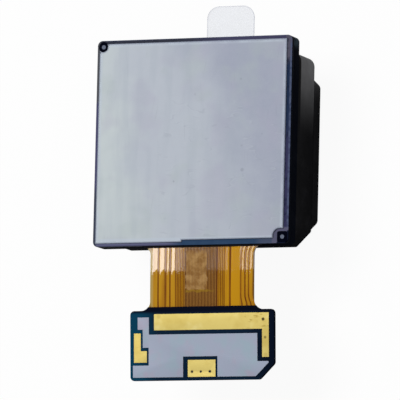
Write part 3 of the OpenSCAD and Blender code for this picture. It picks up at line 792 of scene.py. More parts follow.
@dataclass(frozen=True)
class GoldPlating(Finish):
    """Pale gold plating, softly blotched, with a few brown and green marks."""

    base: Colour = srgb(237, 215, 126)
    deep: Colour = srgb(224, 199, 108)
    pale: Colour = srgb(244, 226, 146)
    stain: Colour = srgb(140, 100, 36)
    metallic: float = 0.15
    pits: tuple[Pit, ...] = (
        Pit(7.5, -16.68, 0.21, 0.95),
        Pit(7.7, -18.4, 0.18, 0.6),
        Pit(0.25, -21.57, 0.2, 0.8),
        Pit(1.15, -21.57, 0.17, 0.8),
        Pit(2.07, -21.57, 0.2, 0.8),
    )

    def paint(self, pen: SurfacePen) -> None:
        """Blotches, stains and small marks over the plating.

        Args:
            pen: Pen of the material.
        """
        tone = pen.blend(pen.span(pen.noise(0.5, 3.0), 0.38, 0.7), self.base, self.deep)
        tone = pen.blend(pen.span(pen.noise(0.8, 2.0, shift=8.0), 0.55, 0.8), tone, self.pale)
        stains = pen.math("MULTIPLY", pen.flecks(1.1, 0.3, 0.1, shift=5.0), 0.2)
        tone = pen.blend(stains, tone, self.stain)
        green = pen.math("MULTIPLY", pen.flecks(0.7, 0.34, 0.12, shift=21.0), 0.25)
        tone = pen.blend(green, tone, srgb(176, 178, 92))
        x, y, _ = pen.split(pen.place)
        near = pen.math("MULTIPLY", pen.span(x, 5.2, 5.8), pen.span(y, -17.9, -17.2))
        smudge = pen.noise(2.4, 3.0, stretch=(0.5, 1.6, 1.0), shift=12.0)
        marks = pen.math("MULTIPLY", near, pen.span(smudge, 0.58, 0.66, 0.0, 0.6))
        tone = pen.blend(marks, tone, srgb(178, 146, 50))
        for pit in self.pits:
            spot = pen.spot(pit.x, pit.y, pit.radius, pit.strength)
            tone = pen.blend(spot, tone, srgb(62, 44, 14))
        brushed = pen.noise(3.0, 2.0, stretch=(1.0, 6.0, 1.0), shift=2.0)
        pen.surface(
            Base_Color=tone,
            Metallic=self.metallic,
            Roughness=pen.span(brushed, 0.3, 0.7, 0.5, 0.6),
            Specular_IOR_Level=0.1,
        )
        pen.bump(pen.noise(7.0, 3.0, shift=1.0), 0.006, 0.4)


@dataclass(frozen=True)
class StiffenerFinish(Finish):
    """Matt grey stiffener field, mottled with cool and warm tones."""

    base: Colour = srgb(168, 176, 196)

    def paint(self, pen: SurfacePen) -> None:
        """Mottles the grey and adds small dents.

        Args:
            pen: Pen of the material.
        """
        cool = pen.span(pen.noise(0.55, 3.0), 0.42, 0.68)
        tone = pen.blend(cool, self.base, srgb(162, 180, 195))
        warm = pen.span(pen.noise(0.6, 3.0, shift=11.0), 0.5, 0.72)
        tone = pen.blend(warm, tone, srgb(174, 172, 192))
        marks = pen.flecks(0.8, 0.24, 0.2, shift=2.0)
        tone = pen.blend(pen.math("MULTIPLY", marks, 0.3), tone, srgb(126, 134, 152))
        grain = pen.noise(8.0, 3.0)
        pen.surface(Base_Color=tone, Roughness=0.55, Specular_IOR_Level=0.1)
        pen.bump(pen.math("MULTIPLY_ADD", marks, -0.4, grain), 0.006, 0.4)


@dataclass(frozen=True)
class CoverFilm(Finish):
    """Glossy amber polyimide over dark adhesive, with a painted shadow at its root and a dull patch of glue.
    """

    base: Colour = srgb(138, 84, 4)
    deep: Colour = srgb(112, 56, 6)
    edge: Colour = srgb(184, 164, 96)
    coat: float = 0.4
    coat_ior: float = 1.62
    wave: float = 0.004
    root: float = -9.5
    glue_share: float = 0.62
    patch: tuple[float, float, float, float] = (-0.42, 1.62, -13.75, -10.1)

    def paint(self, pen: SurfacePen) -> None:
        """Amber with streaks along the cable, glue and a painted shadow at the root under a wavy gloss.

        Args:
            pen: Pen of the material.
        """
        x, y, _ = pen.split(pen.place)
        upward = pen.split(pen.node("ShaderNodeNewGeometry").outputs["Normal"])[2]
        mask = pen.math("MULTIPLY", self.glue_mask(pen, x, y), pen.span(upward, 0.0, 0.5))
        tone = self.tone(pen, x)
        edge = pen.blend(pen.span(x, 0.0, 2.0), self.edge, srgb(112, 80, 26))
        tone = pen.blend(pen.math("MULTIPLY", pen.attribute("edge"), 0.9), tone, edge)
        smear = pen.noise(1.4, 4.0, shift=19.0, roughness=0.6)
        glue = pen.blend(pen.span(smear, 0.35, 0.65), srgb(158, 116, 62), srgb(206, 166, 106))
        tone = pen.blend(pen.math("MULTIPLY", mask, self.glue_share), tone, glue)
        line = pen.math("MULTIPLY", self.glue_rim(pen, x, y), pen.span(upward, 0.0, 0.5))
        tone = pen.blend(line, tone, srgb(176, 140, 30))
        # Painted shadow of the board across the film's root; the gloss is taken off there too.
        rag = pen.math("MULTIPLY_ADD", pen.noise(3.0, 2.0, shift=40.0), 0.1, -0.05)
        end = pen.span(pen.math("ADD", y, rag), self.root - 0.24, self.root - 0.17)
        tone = pen.blend(end, tone, srgb(20, 15, 14))
        matt = pen.math("MAXIMUM", pen.math("MULTIPLY", mask, 0.75), end)
        pen.surface(
            Base_Color=tone,
            Roughness=0.5,
            Specular_IOR_Level=0.05,
            Coat_Weight=pen.math("MULTIPLY", self.gloss(pen, x), pen.math("SUBTRACT", 1.0, matt)),
            Coat_IOR=self.coat_ior,
            Coat_Roughness=pen.math("MULTIPLY_ADD", mask, 0.3, 0.03),
        )
        waves = pen.noise(0.6, 2.0, stretch=(1.0, 0.3, 1.0), shift=3.0)
        pen.bump(pen.math("MULTIPLY_ADD", pen.math("MULTIPLY", mask, smear), 2.0, waves), self.wave)
        relief = pen.shader.inputs["Normal"].links[0].from_socket
        pen.feed(pen.shader.inputs["Coat Normal"], relief)

    def tone(self, pen: SurfacePen, x: Socket) -> Socket:
        """Colour of the bare film: browner between the fine tracks.

        Args:
            pen: Pen of the material.
            x: Place across the cable.

        Returns:
            The colour's socket.
        """
        streak = pen.noise(2.6, 3.0, stretch=(1.0, 0.08, 1.0))
        tone = pen.blend(pen.span(streak, 0.35, 0.65), self.base, self.deep)
        return pen.blend(self.middle(pen, x), tone, srgb(90, 48, 14))

    def middle(self, pen: SurfacePen, x: Socket) -> Socket:
        """Mask of the band of fine tracks."""
        left = pen.span(x, -0.75, -0.45)
        return pen.math("MULTIPLY", left, pen.span(x, 2.9, 2.6))

    def broad(self, pen: SurfacePen, x: Socket) -> Socket:
        """Mask of the broad track."""
        return pen.math("MULTIPLY", pen.span(x, 3.7, 3.9), pen.span(x, 5.1, 5.0))

    def gloss(self, pen: SurfacePen, x: Socket) -> Socket:
        """Strength of the gloss across the cable: full at the sides, weak on the broad track.

        Args:
            pen: Pen of the material.
            x: Place across the cable.

        Returns:
            Strength of the gloss, as a socket.
        """
        left = pen.span(x, 0.4, -1.8)
        right = pen.span(x, 5.0, 5.2, 0.0, 0.5)
        middle = pen.math("MULTIPLY_ADD", self.broad(pen, x), -0.2, 0.22)
        sides = pen.math("MAXIMUM", pen.math("MAXIMUM", left, right), middle)
        return pen.math("MULTIPLY", sides, self.coat)

    def glue_rim(self, pen: SurfacePen, x: Socket, y: Socket) -> Socket:
        """Mask of the yellow line that the glue leaves at its front.

        Args:
            pen: Pen of the material.
            x: Place across the cable.
            y: Place along the cable.

        Returns:
            The mask's socket.
        """
        left, right, front, _ = self.patch
        rag = pen.math("MULTIPLY_ADD", pen.noise(2.0, 3.0, shift=27.0), 0.5, -0.25)
        off = pen.math("ABSOLUTE", pen.math("SUBTRACT", pen.math("ADD", y, rag), front - 0.12))
        line = pen.span(off, 0.14, 0.06)
        return pen.product(line, pen.span(x, left - 0.1, left), pen.span(x, right + 1.2, right), 0.45)

    def glue_mask(self, pen: SurfacePen, x: Socket, y: Socket) -> Socket:
        """Mask of the patch of glue, with a ragged outline.

        Args:
            pen: Pen of the material.
            x: Place across the cable.
            y: Place along the cable.

        Returns:
            The mask's socket.
        """
        rag = pen.math("MULTIPLY_ADD", pen.noise(1.4, 3.0, shift=7.0), 0.6, -0.3)
        across = pen.math("ADD", x, rag)
        along = pen.math("SUBTRACT", y, rag)
        left, right, front, back = self.patch
        return pen.product(
            pen.span(across, left - 0.06, left + 0.06),
            pen.span(across, right + 0.06, right - 0.06),
            pen.span(along, front - 0.06, front + 0.06),
            pen.span(along, back + 0.25, back - 0.25),
        )


@dataclass(frozen=True)
class CopperTrack(CoverFilm):
    """Copper track seen through the amber film."""

    base: Colour = srgb(196, 142, 16)
    deep: Colour = srgb(178, 120, 8)
    edge: Colour = srgb(168, 124, 40)
    coat: float = 1.0

    def tone(self, pen: SurfacePen, x: Socket) -> Socket:
        """Colour of the tracks: browner where they are fine, with a painted sheen on the broad track.

        Args:
            pen: Pen of the material.
            x: Place across the cable.

        Returns:
            The colour's socket.
        """
        streak = pen.noise(1.6, 3.0, stretch=(1.0, 0.08, 1.0))
        tone = pen.blend(pen.span(streak, 0.35, 0.65), self.base, self.deep)
        # Painted sheen: the broad track is painted an even bright amber.
        tone = pen.blend(self.broad(pen, x), tone, srgb(198, 142, 12))
        tone = pen.blend(pen.span(x, -3.68, -3.98, 0.0, 0.75), tone, srgb(196, 172, 104))
        return pen.blend(self.middle(pen, x), tone, srgb(166, 118, 52))


@dataclass(frozen=True)
class ClearFilm(Finish):
    """Thin clear film with a bluish cast."""

    base: Colour = srgb(240, 248, 255)
    clear: float = 0.92

    def paint(self, pen: SurfacePen) -> None:
        """Mixes the tinted sheet with clear passage, with painted shade along its cut edge.

        Args:
            pen: Pen of the material.
        """
        rim = pen.attribute("rim")
        cloud = pen.span(pen.noise(0.25, 2.0, shift=2.0), 0.35, 0.7)
        tone = pen.blend(cloud, self.base, srgb(238, 246, 250))
        # Painted shade: a greyer, less clear line along the cut edge, for the line that refraction and shadow
        # give it.
        tone = pen.blend(pen.math("MULTIPLY", rim, 0.8), tone, srgb(150, 150, 180))
        pen.surface(
            Base_Color=tone,
            Roughness=0.25,
            Specular_IOR_Level=0.2,
            Alpha=pen.math("MULTIPLY_ADD", rim, 0.45, 1.0 - self.clear),
        )
        pen.bump(pen.noise(0.5, 2.0), 0.01, 0.3)


@dataclass(frozen=True)
class BareMetal(Finish):
    """Bright or plated metal with fine brush lines."""

    base: Colour = srgb(196, 200, 206)
    roughness: float = 0.32
    metallic: float = 0.9
    lines: tuple[float, float, float] = (1.0, 0.1, 1.0)

    def paint(self, pen: SurfacePen) -> None:
        """Brush lines and small stains.

        Args:
            pen: Pen of the material.
        """
        brushed = pen.noise(12.0, 3.0, stretch=self.lines)
        stain = pen.span(pen.noise(1.1, 3.0, shift=5.0), 0.5, 0.75, 0.0, 0.3)
        shade = tuple(value * 0.6 for value in self.base)
        tone = pen.blend(pen.span(brushed, 0.35, 0.7, 0.0, 0.35), self.base, shade)
        tone = pen.blend(stain, tone, shade)
        pen.surface(
            Base_Color=tone,
            Metallic=self.metallic,
            Roughness=pen.span(brushed, 0.3, 0.7, self.roughness, self.roughness + 0.12),
        )
        pen.bump(brushed, 0.003, 0.4)


@dataclass(frozen=True)
class WoundCopper(Finish):
    """Enamelled copper wire."""

    def paint(self, pen: SurfacePen) -> None:
        """Copper with slight shifts from turn to turn.

        Args:
            pen: Pen of the material.
        """
        turns = pen.noise(9.0, 2.0)
        tone = pen.blend(pen.span(turns, 0.3, 0.7), srgb(176, 96, 48), srgb(214, 138, 80))
        pen.surface(
            Base_Color=tone, Metallic=0.85, Roughness=0.34, Coat_Weight=0.4, Coat_Roughness=0.15
        )
        pen.bump(turns, 0.004, 0.4)


@dataclass(frozen=True)
class Ceramic(Finish):
    """Fine fired ceramic."""

    base: Colour = srgb(142, 108, 76)
    roughness: float = 0.4
    ends: Colour = srgb(206, 208, 212)

    def paint(self, pen: SurfacePen) -> None:
        """Fine speckle of the fired body.

        Args:
            pen: Pen of the material.
        """
        speckle = pen.noise(30.0, 3.0, roughness=0.7)
        shade = tuple(value * 0.72 for value in self.base)
        tone = pen.blend(pen.span(speckle, 0.35, 0.7), self.base, shade)
        end = pen.attribute("end")
        pen.surface(
            Base_Color=pen.blend(end, tone, self.ends),
            Metallic=pen.math("MULTIPLY", end, 0.7),
            Roughness=self.roughness,
            Specular_IOR_Level=0.45,
        )
        pen.bump(speckle, 0.003, 0.4)


@dataclass(frozen=True)
class CoatedGlass(Finish):
    """Clear glass or lens plastic with a thin coloured coating."""

    tint: Colour = srgb(214, 232, 228)
    ior: float = 1.54

    def paint(self, pen: SurfacePen) -> None:
        """Clear body with a faint haze in its coating.

        Args:
            pen: Pen of the material.
        """
        haze = pen.noise(0.8, 2.0)
        deeper = tuple(value * 0.86 for value in self.tint)
        pen.surface(
            Base_Color=pen.blend(pen.span(haze, 0.3, 0.7), self.tint, deeper),
            Roughness=pen.span(haze, 0.3, 0.7, 0.01, 0.04),
            IOR=self.ior,
            Transmission_Weight=1.0,
        )
        pen.bump(pen.noise(3.0, 2.0), 0.0005, 0.2)


@dataclass(frozen=True)
class SensorFinish(Finish):
    """Silicon with a fine colour filter field."""

    def paint(self, pen: SurfacePen) -> None:
        """Fine two-way pattern of the filter cells over violet silicon.

        Args:
            pen: Pen of the material.
        """
        cells = pen.node("ShaderNodeTexChecker")
        pen.feed(cells.inputs["Vector"], pen.place)
        pen.feed(cells.inputs["Scale"], 40.0)
        pen.feed(cells.inputs["Color1"], srgb(60, 40, 92))
        pen.feed(cells.inputs["Color2"], srgb(36, 52, 60))
        sheen = pen.span(pen.noise(0.12, 1.0), 0.35, 0.65)
        pen.surface(
            Base_Color=pen.blend(sheen, cells.outputs["Color"], srgb(70, 34, 70)),
            Metallic=0.4,
            Roughness=0.22,
        )
        pen.bump(cells.outputs["Fac"], 0.001, 0.3)


@dataclass(frozen=True)
class Foam(Finish):
    """Closed-cell foam."""

    def paint(self, pen: SurfacePen) -> None:
        """Open and closed cells of the foam's skin.

        Args:
            pen: Pen of the material.
        """
        cells = pen.node("ShaderNodeTexVoronoi", feature="F1")
        pen.feed(cells.inputs["Vector"], pen.place)
        pen.feed(cells.inputs["Scale"], 9.0)
        tone = pen.blend(
            pen.span(cells.outputs["Distance"], 0.2, 0.7), srgb(34, 34, 36), srgb(62, 62, 64)
        )
        pen.surface(Base_Color=tone, Roughness=0.85, Specular_IOR_Level=0.2)
        pen.bump(cells.outputs["Distance"], 0.03, 0.8)


PLATE = PlateFinish("plate_grey")
MAIN_MASK = BoardMask("board_mask")
CONNECTOR_MASK = SolderMask("connector_mask")
CAN = CanFinish("black_can")
# The cover has its own painted sheen, a darker grey over a shorter reach.
COVER = CanFinish(
    "black_cover", base=srgb(23, 23, 25), grain_per_mm=9.0, painted_sheen=srgb(82, 82, 84), back=8.8, reach=4.6
)
BRACKET = PaleCornerBracket("bracket_navy", base=srgb(6, 9, 18), bloom=srgb(24, 26, 34), coat=0.02)
HOUSING = SatinBlack("housing_black", base=srgb(34, 34, 37), specular=0.3)
CARRIER = SatinBlack("carrier_black", base=srgb(40, 40, 44), specular=0.3, grain_per_mm=10.0)
BARREL = SatinBlack("barrel_black", base=srgb(14, 14, 15), roughness=0.7, coat=0.0)
PACKAGE = SatinBlack("chip_package", base=srgb(30, 30, 34), bloom=srgb(70, 70, 72), specular=0.3)
PLUG = SatinBlack("plug_black", base=srgb(24, 24, 26), specular=0.3)
GOLD = GoldPlating("gold_pads")
CONTACT_GOLD = GoldPlating("contact_gold", base=srgb(222, 188, 98), metallic=0.9, pits=())
STIFFENER = StiffenerFinish("stiffener_grey")
FILM = CoverFilm("amber_film")
TRACK = CopperTrack("copper_track")
CLEAR_FILM = ClearFilm("clear_film")
TINNED = BareMetal("tinned_metal", base=srgb(204, 208, 212), roughness=0.4, metallic=0.6)
MARK = SatinBlack(
    "mark_metal", base=srgb(104, 112, 130), bloom=srgb(128, 137, 152), coat=0.0, specular=0.03, ior=1.2
)
STEEL = BareMetal("plain_steel", base=srgb(170, 170, 174))
NICKEL = BareMetal("nickel_plate", base=srgb(176, 178, 184), roughness=0.22)
DRIVE_FILM = CoverFilm("drive_film", base=srgb(170, 104, 30), deep=srgb(140, 82, 24), patch=(0.0,) * 4)
COPPER_WIRE = WoundCopper("copper_wire")
CAPACITOR = Ceramic("capacitor_body")
BALL = Ceramic("ball_ceramic", base=srgb(232, 232, 234), roughness=0.12)
LENS = CoatedGlass("lens_glass")
FILTER = CoatedGlass("filter_glass", tint=srgb(150, 214, 220), ior=1.52)
SILICON = SensorFinish("sensor_silicon")
FOAM = Foam("gasket_foam")


# ---- Meshes ----


@dataclass(frozen=True)
class Outline:
    """Closed outline in the XY plane, with a radius at each corner."""

    corners: tuple[tuple[float, float], ...]
    radii: tuple[float, ...]
    arc_steps: int = 8

    def points(self) -> list[Vector]:
        """The outline's points, with an arc at each corner.

        Returns:
            Points in order round the outline.
        """
        made: list[Vector] = []
        count = len(self.corners)
        for index in range(count):
            before = Vector(self.corners[index - 1])
            here = Vector(self.corners[index])
            after = Vector(self.corners[(index + 1) % count])
            made.extend(self.corner_arc(before, here, after, self.radii[index]))
        return made

    def corner_arc(self, before: Vector, here: Vector, after: Vector, radius: float) -> list[Vector]:
        """Points of the arc at one corner.

        Args:
            before: Corner before this one.
            here: Corner that is rounded.
            after: Corner after this one.
            radius: Radius of the arc.

        Returns:
            The arc's points in order.
        """
        to_before = (before - here).normalized()
        to_after = (after - here).normalized()
        half = to_before.angle(to_after) / 2
        centre = here + (to_before + to_after).normalized() * radius / math.sin(half)
        start = here + to_before * radius / math.tan(half) - centre
        end = here + to_after * radius / math.tan(half) - centre
        total = start.angle(end)
        made = []
        for step in range(self.arc_steps + 1):
            share = step / self.arc_steps
            first = math.sin((1 - share) * total) / math.sin(total)
            second = math.sin(share * total) / math.sin(total)
            made.append(centre + start * first + end * second)
        return made


def cut_rectangle(x: float, y: float, cut: float) -> tuple[tuple[float, float], ...]:
    """Corners of a rectangle whose own corners are cut at 45 degrees.

    Args:
        x: Half its width.
        y: Half its depth.
        cut: Length of each cut along the sides.

    Returns:
        The eight corners, anticlockwise.
    """
    return (
        (-x + cut, -y), (x - cut, -y), (x, -y + cut), (x, y - cut),
        (x - cut, y), (-x + cut, y), (-x, y - cut), (-x, -y + cut),
    )


def arc(centre: Vector, radius: float, start: float, end: float, steps: int) -> list[Vector]:
    """Points of an arc.

    Args:
        centre: Centre of the arc.
        radius: Its radius.
        start: Angle of its first point, in radians.
        end: Angle of its last point, in radians.
        steps: Number of steps along it.

    Returns:
        The points in order.
    """
    angles = [start + (end - start) * step / steps for step in range(steps + 1)]
    return [centre + Vector((math.cos(a), math.sin(a))) * radius for a in angles]


def inset(points: Sequence[Vector], distance: float) -> list[Vector]:
    """Moves an anticlockwise outline inwards, each point along its own mitre.

    Args:
        points: Points of the outline.
        distance: How far it moves inwards.

    Returns:
        The moved points.
    """
    made = []
    count = len(points)
    for index, here in enumerate(points):
        into = (here - points[index - 1]).normalized()
        out = (points[(index + 1) % count] - here).normalized()
        normal_in = Vector((-into.y, into.x))
        normal_out = Vector((-out.y, out.x))
        mitre = normal_in + normal_out
        scale = 2 / max(mitre.length_squared, 0.5)
        made.append(here + mitre * distance * scale)
    return made


def flat_loop(points: Sequence[Vector], height: float) -> Loop:
    """Lifts an outline to a height."""
    return [Vector((p.x, p.y, height)) for p in points]


def circle_loop(like: Sequence[Vector], radius: float, height: float) -> Loop:
    """Circle about the axis with a point in the direction of each point of another loop."""
    return [Vector((*(p.to_2d().normalized() * radius), height)) for p in like]


@dataclass
class Part:
    """A piece in the making: its mesh in millimetres, finishes and place in the frame."""

    name: str
    body: Body = Body.MODULE
    finishes: tuple[Finish, ...] = ()
    mesh: bmesh.types.BMesh = field(default_factory=bmesh.new)

    def loft(self, loops: Sequence[Loop], ring: bool = False, weights: Sequence[float] = ()) -> None:
        """Joins loops of as many points with quads, with end caps unless it is a ring.

        Args:
            loops: Loops of points, each with as many points as the others.
            ring: Whether the last loop joins the first.
            weights: Value of the rim attribute on each loop.
        """
        layer = self.mesh.verts.layers.float.get("rim") or self.mesh.verts.layers.float.new("rim")
        rows = []
        for index, loop in enumerate(loops):
            row = [self.mesh.verts.new(point) for point in loop]
            for vertex in row:
                vertex[layer] = weights[index] if weights else 0.0
            rows.append(row)
        pairs = list(zip(rows, rows[1:])) + ([(rows[-1], rows[0])] if ring else [])
        for low, high in pairs:
            count = len(low)
            for i in range(count):
                j = (i + 1) % count
                self.mesh.faces.new((low[i], low[j], high[j], high[i]))
        if not ring:
            self.mesh.faces.new(list(reversed(rows[0])))
            self.mesh.faces.new(rows[-1])

    def finish(self, *nodes: str, slot: str, sharp: float = 35.0) -> bpy.types.Object:
        """Turns the mesh into a piece that stands for frame nodes.

        Args:
            *nodes: Frame nodes that the piece replaces.
            slot: Material slot of the record; not used.
            sharp: Angle in degrees above which an edge stays sharp.

        Returns:
            The piece's object.
        """
        bmesh.ops.remove_doubles(self.mesh, verts=self.mesh.verts, dist=1e-5)
        bmesh.ops.recalc_face_normals(self.mesh, faces=self.mesh.faces)
        bmesh.ops.scale(self.mesh, vec=(MM,) * 3, verts=self.mesh.verts)
        data = bpy.data.meshes.new(self.name)
        self.mesh.to_mesh(data)
        self.mesh.free()
        for finish in self.finishes:
            data.materials.append(finish.material())
        return place_piece(data, self.name, self.body, nodes, sharp)


def place_piece(
    data: bpy.types.Mesh, name: str, body: Body, nodes: Iterable[str], sharp: float = 35.0
) -> bpy.types.Object:
    """Puts a finished mesh in the scene and ties it to the frame.

    Args:
        data: Mesh in metres, in the frame's own coordinates.
        name: Name of the piece.
        body: Body that it rides on.
        nodes: Frame nodes that it replaces.
        sharp: Angle in degrees above which an edge stays sharp.

    Returns:
        The piece's object.
    """
    data.shade_smooth()
    data.set_sharp_from_angle(angle=math.radians(sharp))
    piece = bpy.data.objects.new(name, data)
    bpy.context.scene.collection.objects.link(piece)
    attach(piece, body.value)
    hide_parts(*nodes)
    triangles = sum(len(polygon.vertices) - 2 for polygon in data.polygons)
    log.info("%s: %d triangles on %s", name, triangles, body.value)
    return piece


def dress(finish: Finish, *nodes: str) -> None:
    """Gives frame nodes a finish, with their shapes as they are.

    Args:
        finish: The finish.
        *nodes: Names of the nodes.
    """
    for node in nodes:
        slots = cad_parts[node].data.materials
        slots.clear()
        slots.append(finish.material())
        log.info("%s: dressed in %s", node, finish.name)


def soften(node: str, finish: Finish, width: float = 0.03) -> bpy.types.Object:
    """Puts a copy of a frame node with rounded edges in its place.

    Args:
        node: Name of the node, on the module's body.
        finish: Finish of the copy.
        width: Width of the rounding, in millimetres.

    Returns:
        The copy's object.
    """
    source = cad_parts[node]
    shape = bmesh.new()
    shape.from_mesh(source.data)
    shape.transform(source.matrix_world)
    bmesh.ops.remove_doubles(shape, verts=shape.verts, dist=2e-6)
    bmesh.ops.dissolve_limit(
        shape, angle_limit=math.radians(1.0), verts=shape.verts, edges=shape.edges
    )
    steep = math.radians(50.0)
    sharp = [e for e in shape.edges if len(e.link_faces) == 2 and e.calc_face_angle(0.0) > steep]
    bmesh.ops.bevel(
        shape, geom=sharp, offset=width * MM, segments=2, profile=0.5, affect="EDGES", clamp_overlap=True
    )
    data = bpy.data.meshes.new(node + "_soft")
    shape.to_mesh(data)
    shape.free()
    data.materials.append(finish.material())
    return place_piece(data, node + "_soft", Body.MODULE, [node], 28.0)


# ---- Sub-assemblies ----


@dataclass
class SensorSide:
    """Back plate, main board with its marks, and the bracket under it."""

    bevel: float = 0.05
    rim_width: float = 0.15
    clearing_r: float = 0.5
    notch: tuple[float, float] = (1.54, 1.42)
    notch_r: float = 0.7
    step_x: float = -0.85
    step_depth: float = 0.2

    def plate_outline(self) -> list[Vector]:
        """Outline of the plate with its step and its two notches.

        Returns:
            Points in order round the plate.
        """
        low, high = box_mm("back_plate")
        mark_low, mark_high = solids_mm("corner_marks")[-1]
        board_low, board_high = box_mm("main_board")
        corner = Vector((board_high.x, board_low.y))
        mark = ((mark_low + mark_high) / 2).to_2d()
        front = low.y + self.step_depth
        inner = Vector((corner.x - self.notch[0], corner.y + self.notch[1]))
        points = [Vector((low.x, low.y)), Vector((self.step_x, low.y))]
        points += [Vector((self.step_x + 0.02, front)), Vector((inner.x, front))]
        bend = inner + Vector((self.notch_r, -self.notch_r))
        points += arc(bend, self.notch_r, math.pi, math.pi / 2, 10)
        points.append(Vector((high.x, inner.y)))
        points.append(Vector((high.x, high.y)))
        start = math.asin((high.y - mark.y) / self.clearing_r)
        end = -math.pi + math.acos((mark.x - low.x) / self.clearing_r)
        points += arc(mark, self.clearing_r, start, end, 16)
        return points

    def build(self) -> None:
        """Builds the plate with its rounded rim, which its finish paints with a highlight and shade."""
        low, high = box_mm("back_plate")
        outline = self.plate_outline()
        part = Part("back_plate_sheet", finishes=(PLATE,))
        loops, weights = [flat_loop(outline, low.z)], [1.0]
        steps = 4
        for step in range(steps + 1):
            angle = math.pi / 2 * step / steps
            depth = self.bevel * (1 - math.cos(angle))
            rise = self.bevel * math.sin(angle)
            loops.append(flat_loop(inset(outline, depth), high.z - self.bevel + rise))
            weights.append(1.0)
        loops.append(flat_loop(inset(outline, self.rim_width), high.z))
        weights.append(0.0)
        part.loft(loops, weights=weights)
        part.finish("back_plate", slot="plate_grey")

    def dress(self) -> None:
        """Dresses the board, its marks and what lies under it."""
        soften("main_board", MAIN_MASK)
        soften("sensor_bracket", BRACKET, 0.06)
        dress(MARK, "corner_marks")
        dress(FILTER, "infrared_filter")
        dress(SILICON, "image_sensor")
        soften("board_chips", PACKAGE, 0.03)
        BlockRow("board_capacitors", CAPACITOR, "capacitor", waist=0.9).build()


@dataclass
class Shell:
    """Drawn can and moulded front cover round the actuator."""

    can_cut: float = 1.45
    can_radii: tuple[float, float] = (0.25, 0.9)
    can_wall: float = 0.2
    can_lip: float = 0.8
    can_roll: float = 0.12
    cover_cut: float = 2.2
    cover_radius: float = 0.6
    cover_wall: float = 0.25
    cover_roll: float = 0.16
    collar_wall: float = 0.3
    aperture_r: float = 5.1
    diagonal: float = 2 - math.sqrt(2)

    def build(self) -> None:
        """Builds both shells."""
        self.build_can()
        self.build_cover()

    def can_loop(self, depth: float, height: float) -> Loop:
        """Outline of the can at a depth behind its face and at a height.

        Args:
            depth: Depth behind the can's face.
            height: Height of the loop.

        Returns:
            The loop of points.
        """
        _, high = box_mm("actuator_can")
        x, y, cut = high.x - depth, high.y - depth, self.can_cut - depth * self.diagonal
        corners = ((-x + cut, -y), (x - cut, -y), (x, -y + cut), (x, y), (-x, y), (-x, -y + cut))
        front, back = self.can_radii
        radii = (front, front, front, back - depth, back - depth, front)
        return flat_loop(Outline(corners, radii, 12).points(), height)

    def build_can(self) -> None:
        """Builds the can as a folded sheet with rolled edges."""
        low, high = box_mm("actuator_can")
        wall, roll = self.can_wall, self.can_roll
        edge = 0.05
        loops = [
            self.can_loop(self.can_lip + wall, low.z + wall),
            self.can_loop(self.can_lip + wall, low.z),
        ]
        steps = 5
        for step in range(steps + 1):
            angle = math.pi / 2 * step / steps
            depth = roll * (1 - math.sin(angle))
            loops.append(self.can_loop(depth, low.z + roll * (1 - math.cos(angle))))
        loops += [
            self.can_loop(0.0, high.z - edge),
            self.can_loop(edge * 0.3, high.z - edge * 0.3),
            self.can_loop(edge, high.z),
            self.can_loop(wall, high.z),
            self.can_loop(wall, low.z + wall),
        ]
        part = Part("can_shell", finishes=(CAN,))
        part.loft(loops, ring=True)
        part.finish("actuator_can", slot="black_can")

    def cover_loop(self, depth: float, height: float) -> Loop:
        """Outline of the cover at a depth behind its face and at a height.

        Args:
            depth: Depth behind the cover's face.
            height: Height of the loop.

        Returns:
            The loop of points.
        """
        _, high = box_mm("front_cover")
        corners = cut_rectangle(high.x - depth, high.y - depth, self.cover_cut - depth * self.diagonal)
        return flat_loop(Outline(corners, (self.cover_radius,) * 8).points(), height)

    def build_cover(self) -> None:
        """Builds the cover with its collar and light opening."""
        low, high = box_mm("front_cover")
        gasket_low, gasket_high = box_mm("front_gasket")
        collar_r = (gasket_high.x - gasket_low.x) / 2 + 0.05
        floor = 1.2
        wall, roll = self.cover_wall, self.cover_roll
        like = self.cover_loop(0.0, 0.0)
        steps = 5
        loops = [self.cover_loop(wall, high.z), self.cover_loop(0.05, high.z)]
        loops.append(self.cover_loop(0.0, high.z - 0.05))
        for step in range(steps + 1):
            angle = math.pi / 2 * step / steps
            depth = roll * (1 - math.cos(angle))
            loops.append(self.cover_loop(depth, floor + roll * (1 - math.sin(angle))))
        edge = 0.1
        inner = collar_r - self.collar_wall
        loops += [
            circle_loop(like, collar_r + edge, floor),
            circle_loop(like, collar_r, floor - edge),
            circle_loop(like, collar_r, low.z + edge),
            circle_loop(like, collar_r - edge * 0.3, low.z + edge * 0.3),
            circle_loop(like, collar_r - edge, low.z),
            circle_loop(like, self.aperture_r + 0.2, low.z),
            circle_loop(like, self.aperture_r, low.z + wall),
            circle_loop(like, inner, low.z + wall),
            circle_loop(like, inner, floor + wall),
            self.cover_loop(wall, floor + wall),
        ]
        part = Part("cover_shell", finishes=(COVER,))
        part.loft(loops, ring=True)
        part.finish("front_cover", slot="black_cover")

    def dress(self) -> None:
        """Dresses what lies inside the shells."""
        dress(FOAM, "front_gasket")
        dress(STEEL, "front_stopper", "focus_yoke")
        dress(HOUSING, "actuator_housing")
        dress(DRIVE_FILM, "drive_flex")
        for coil in ("focus_coil", "stabiliser_coil_x", "stabiliser_coil_y"):
            Winding(coil).build()
        dress(PACKAGE, "position_sensors")


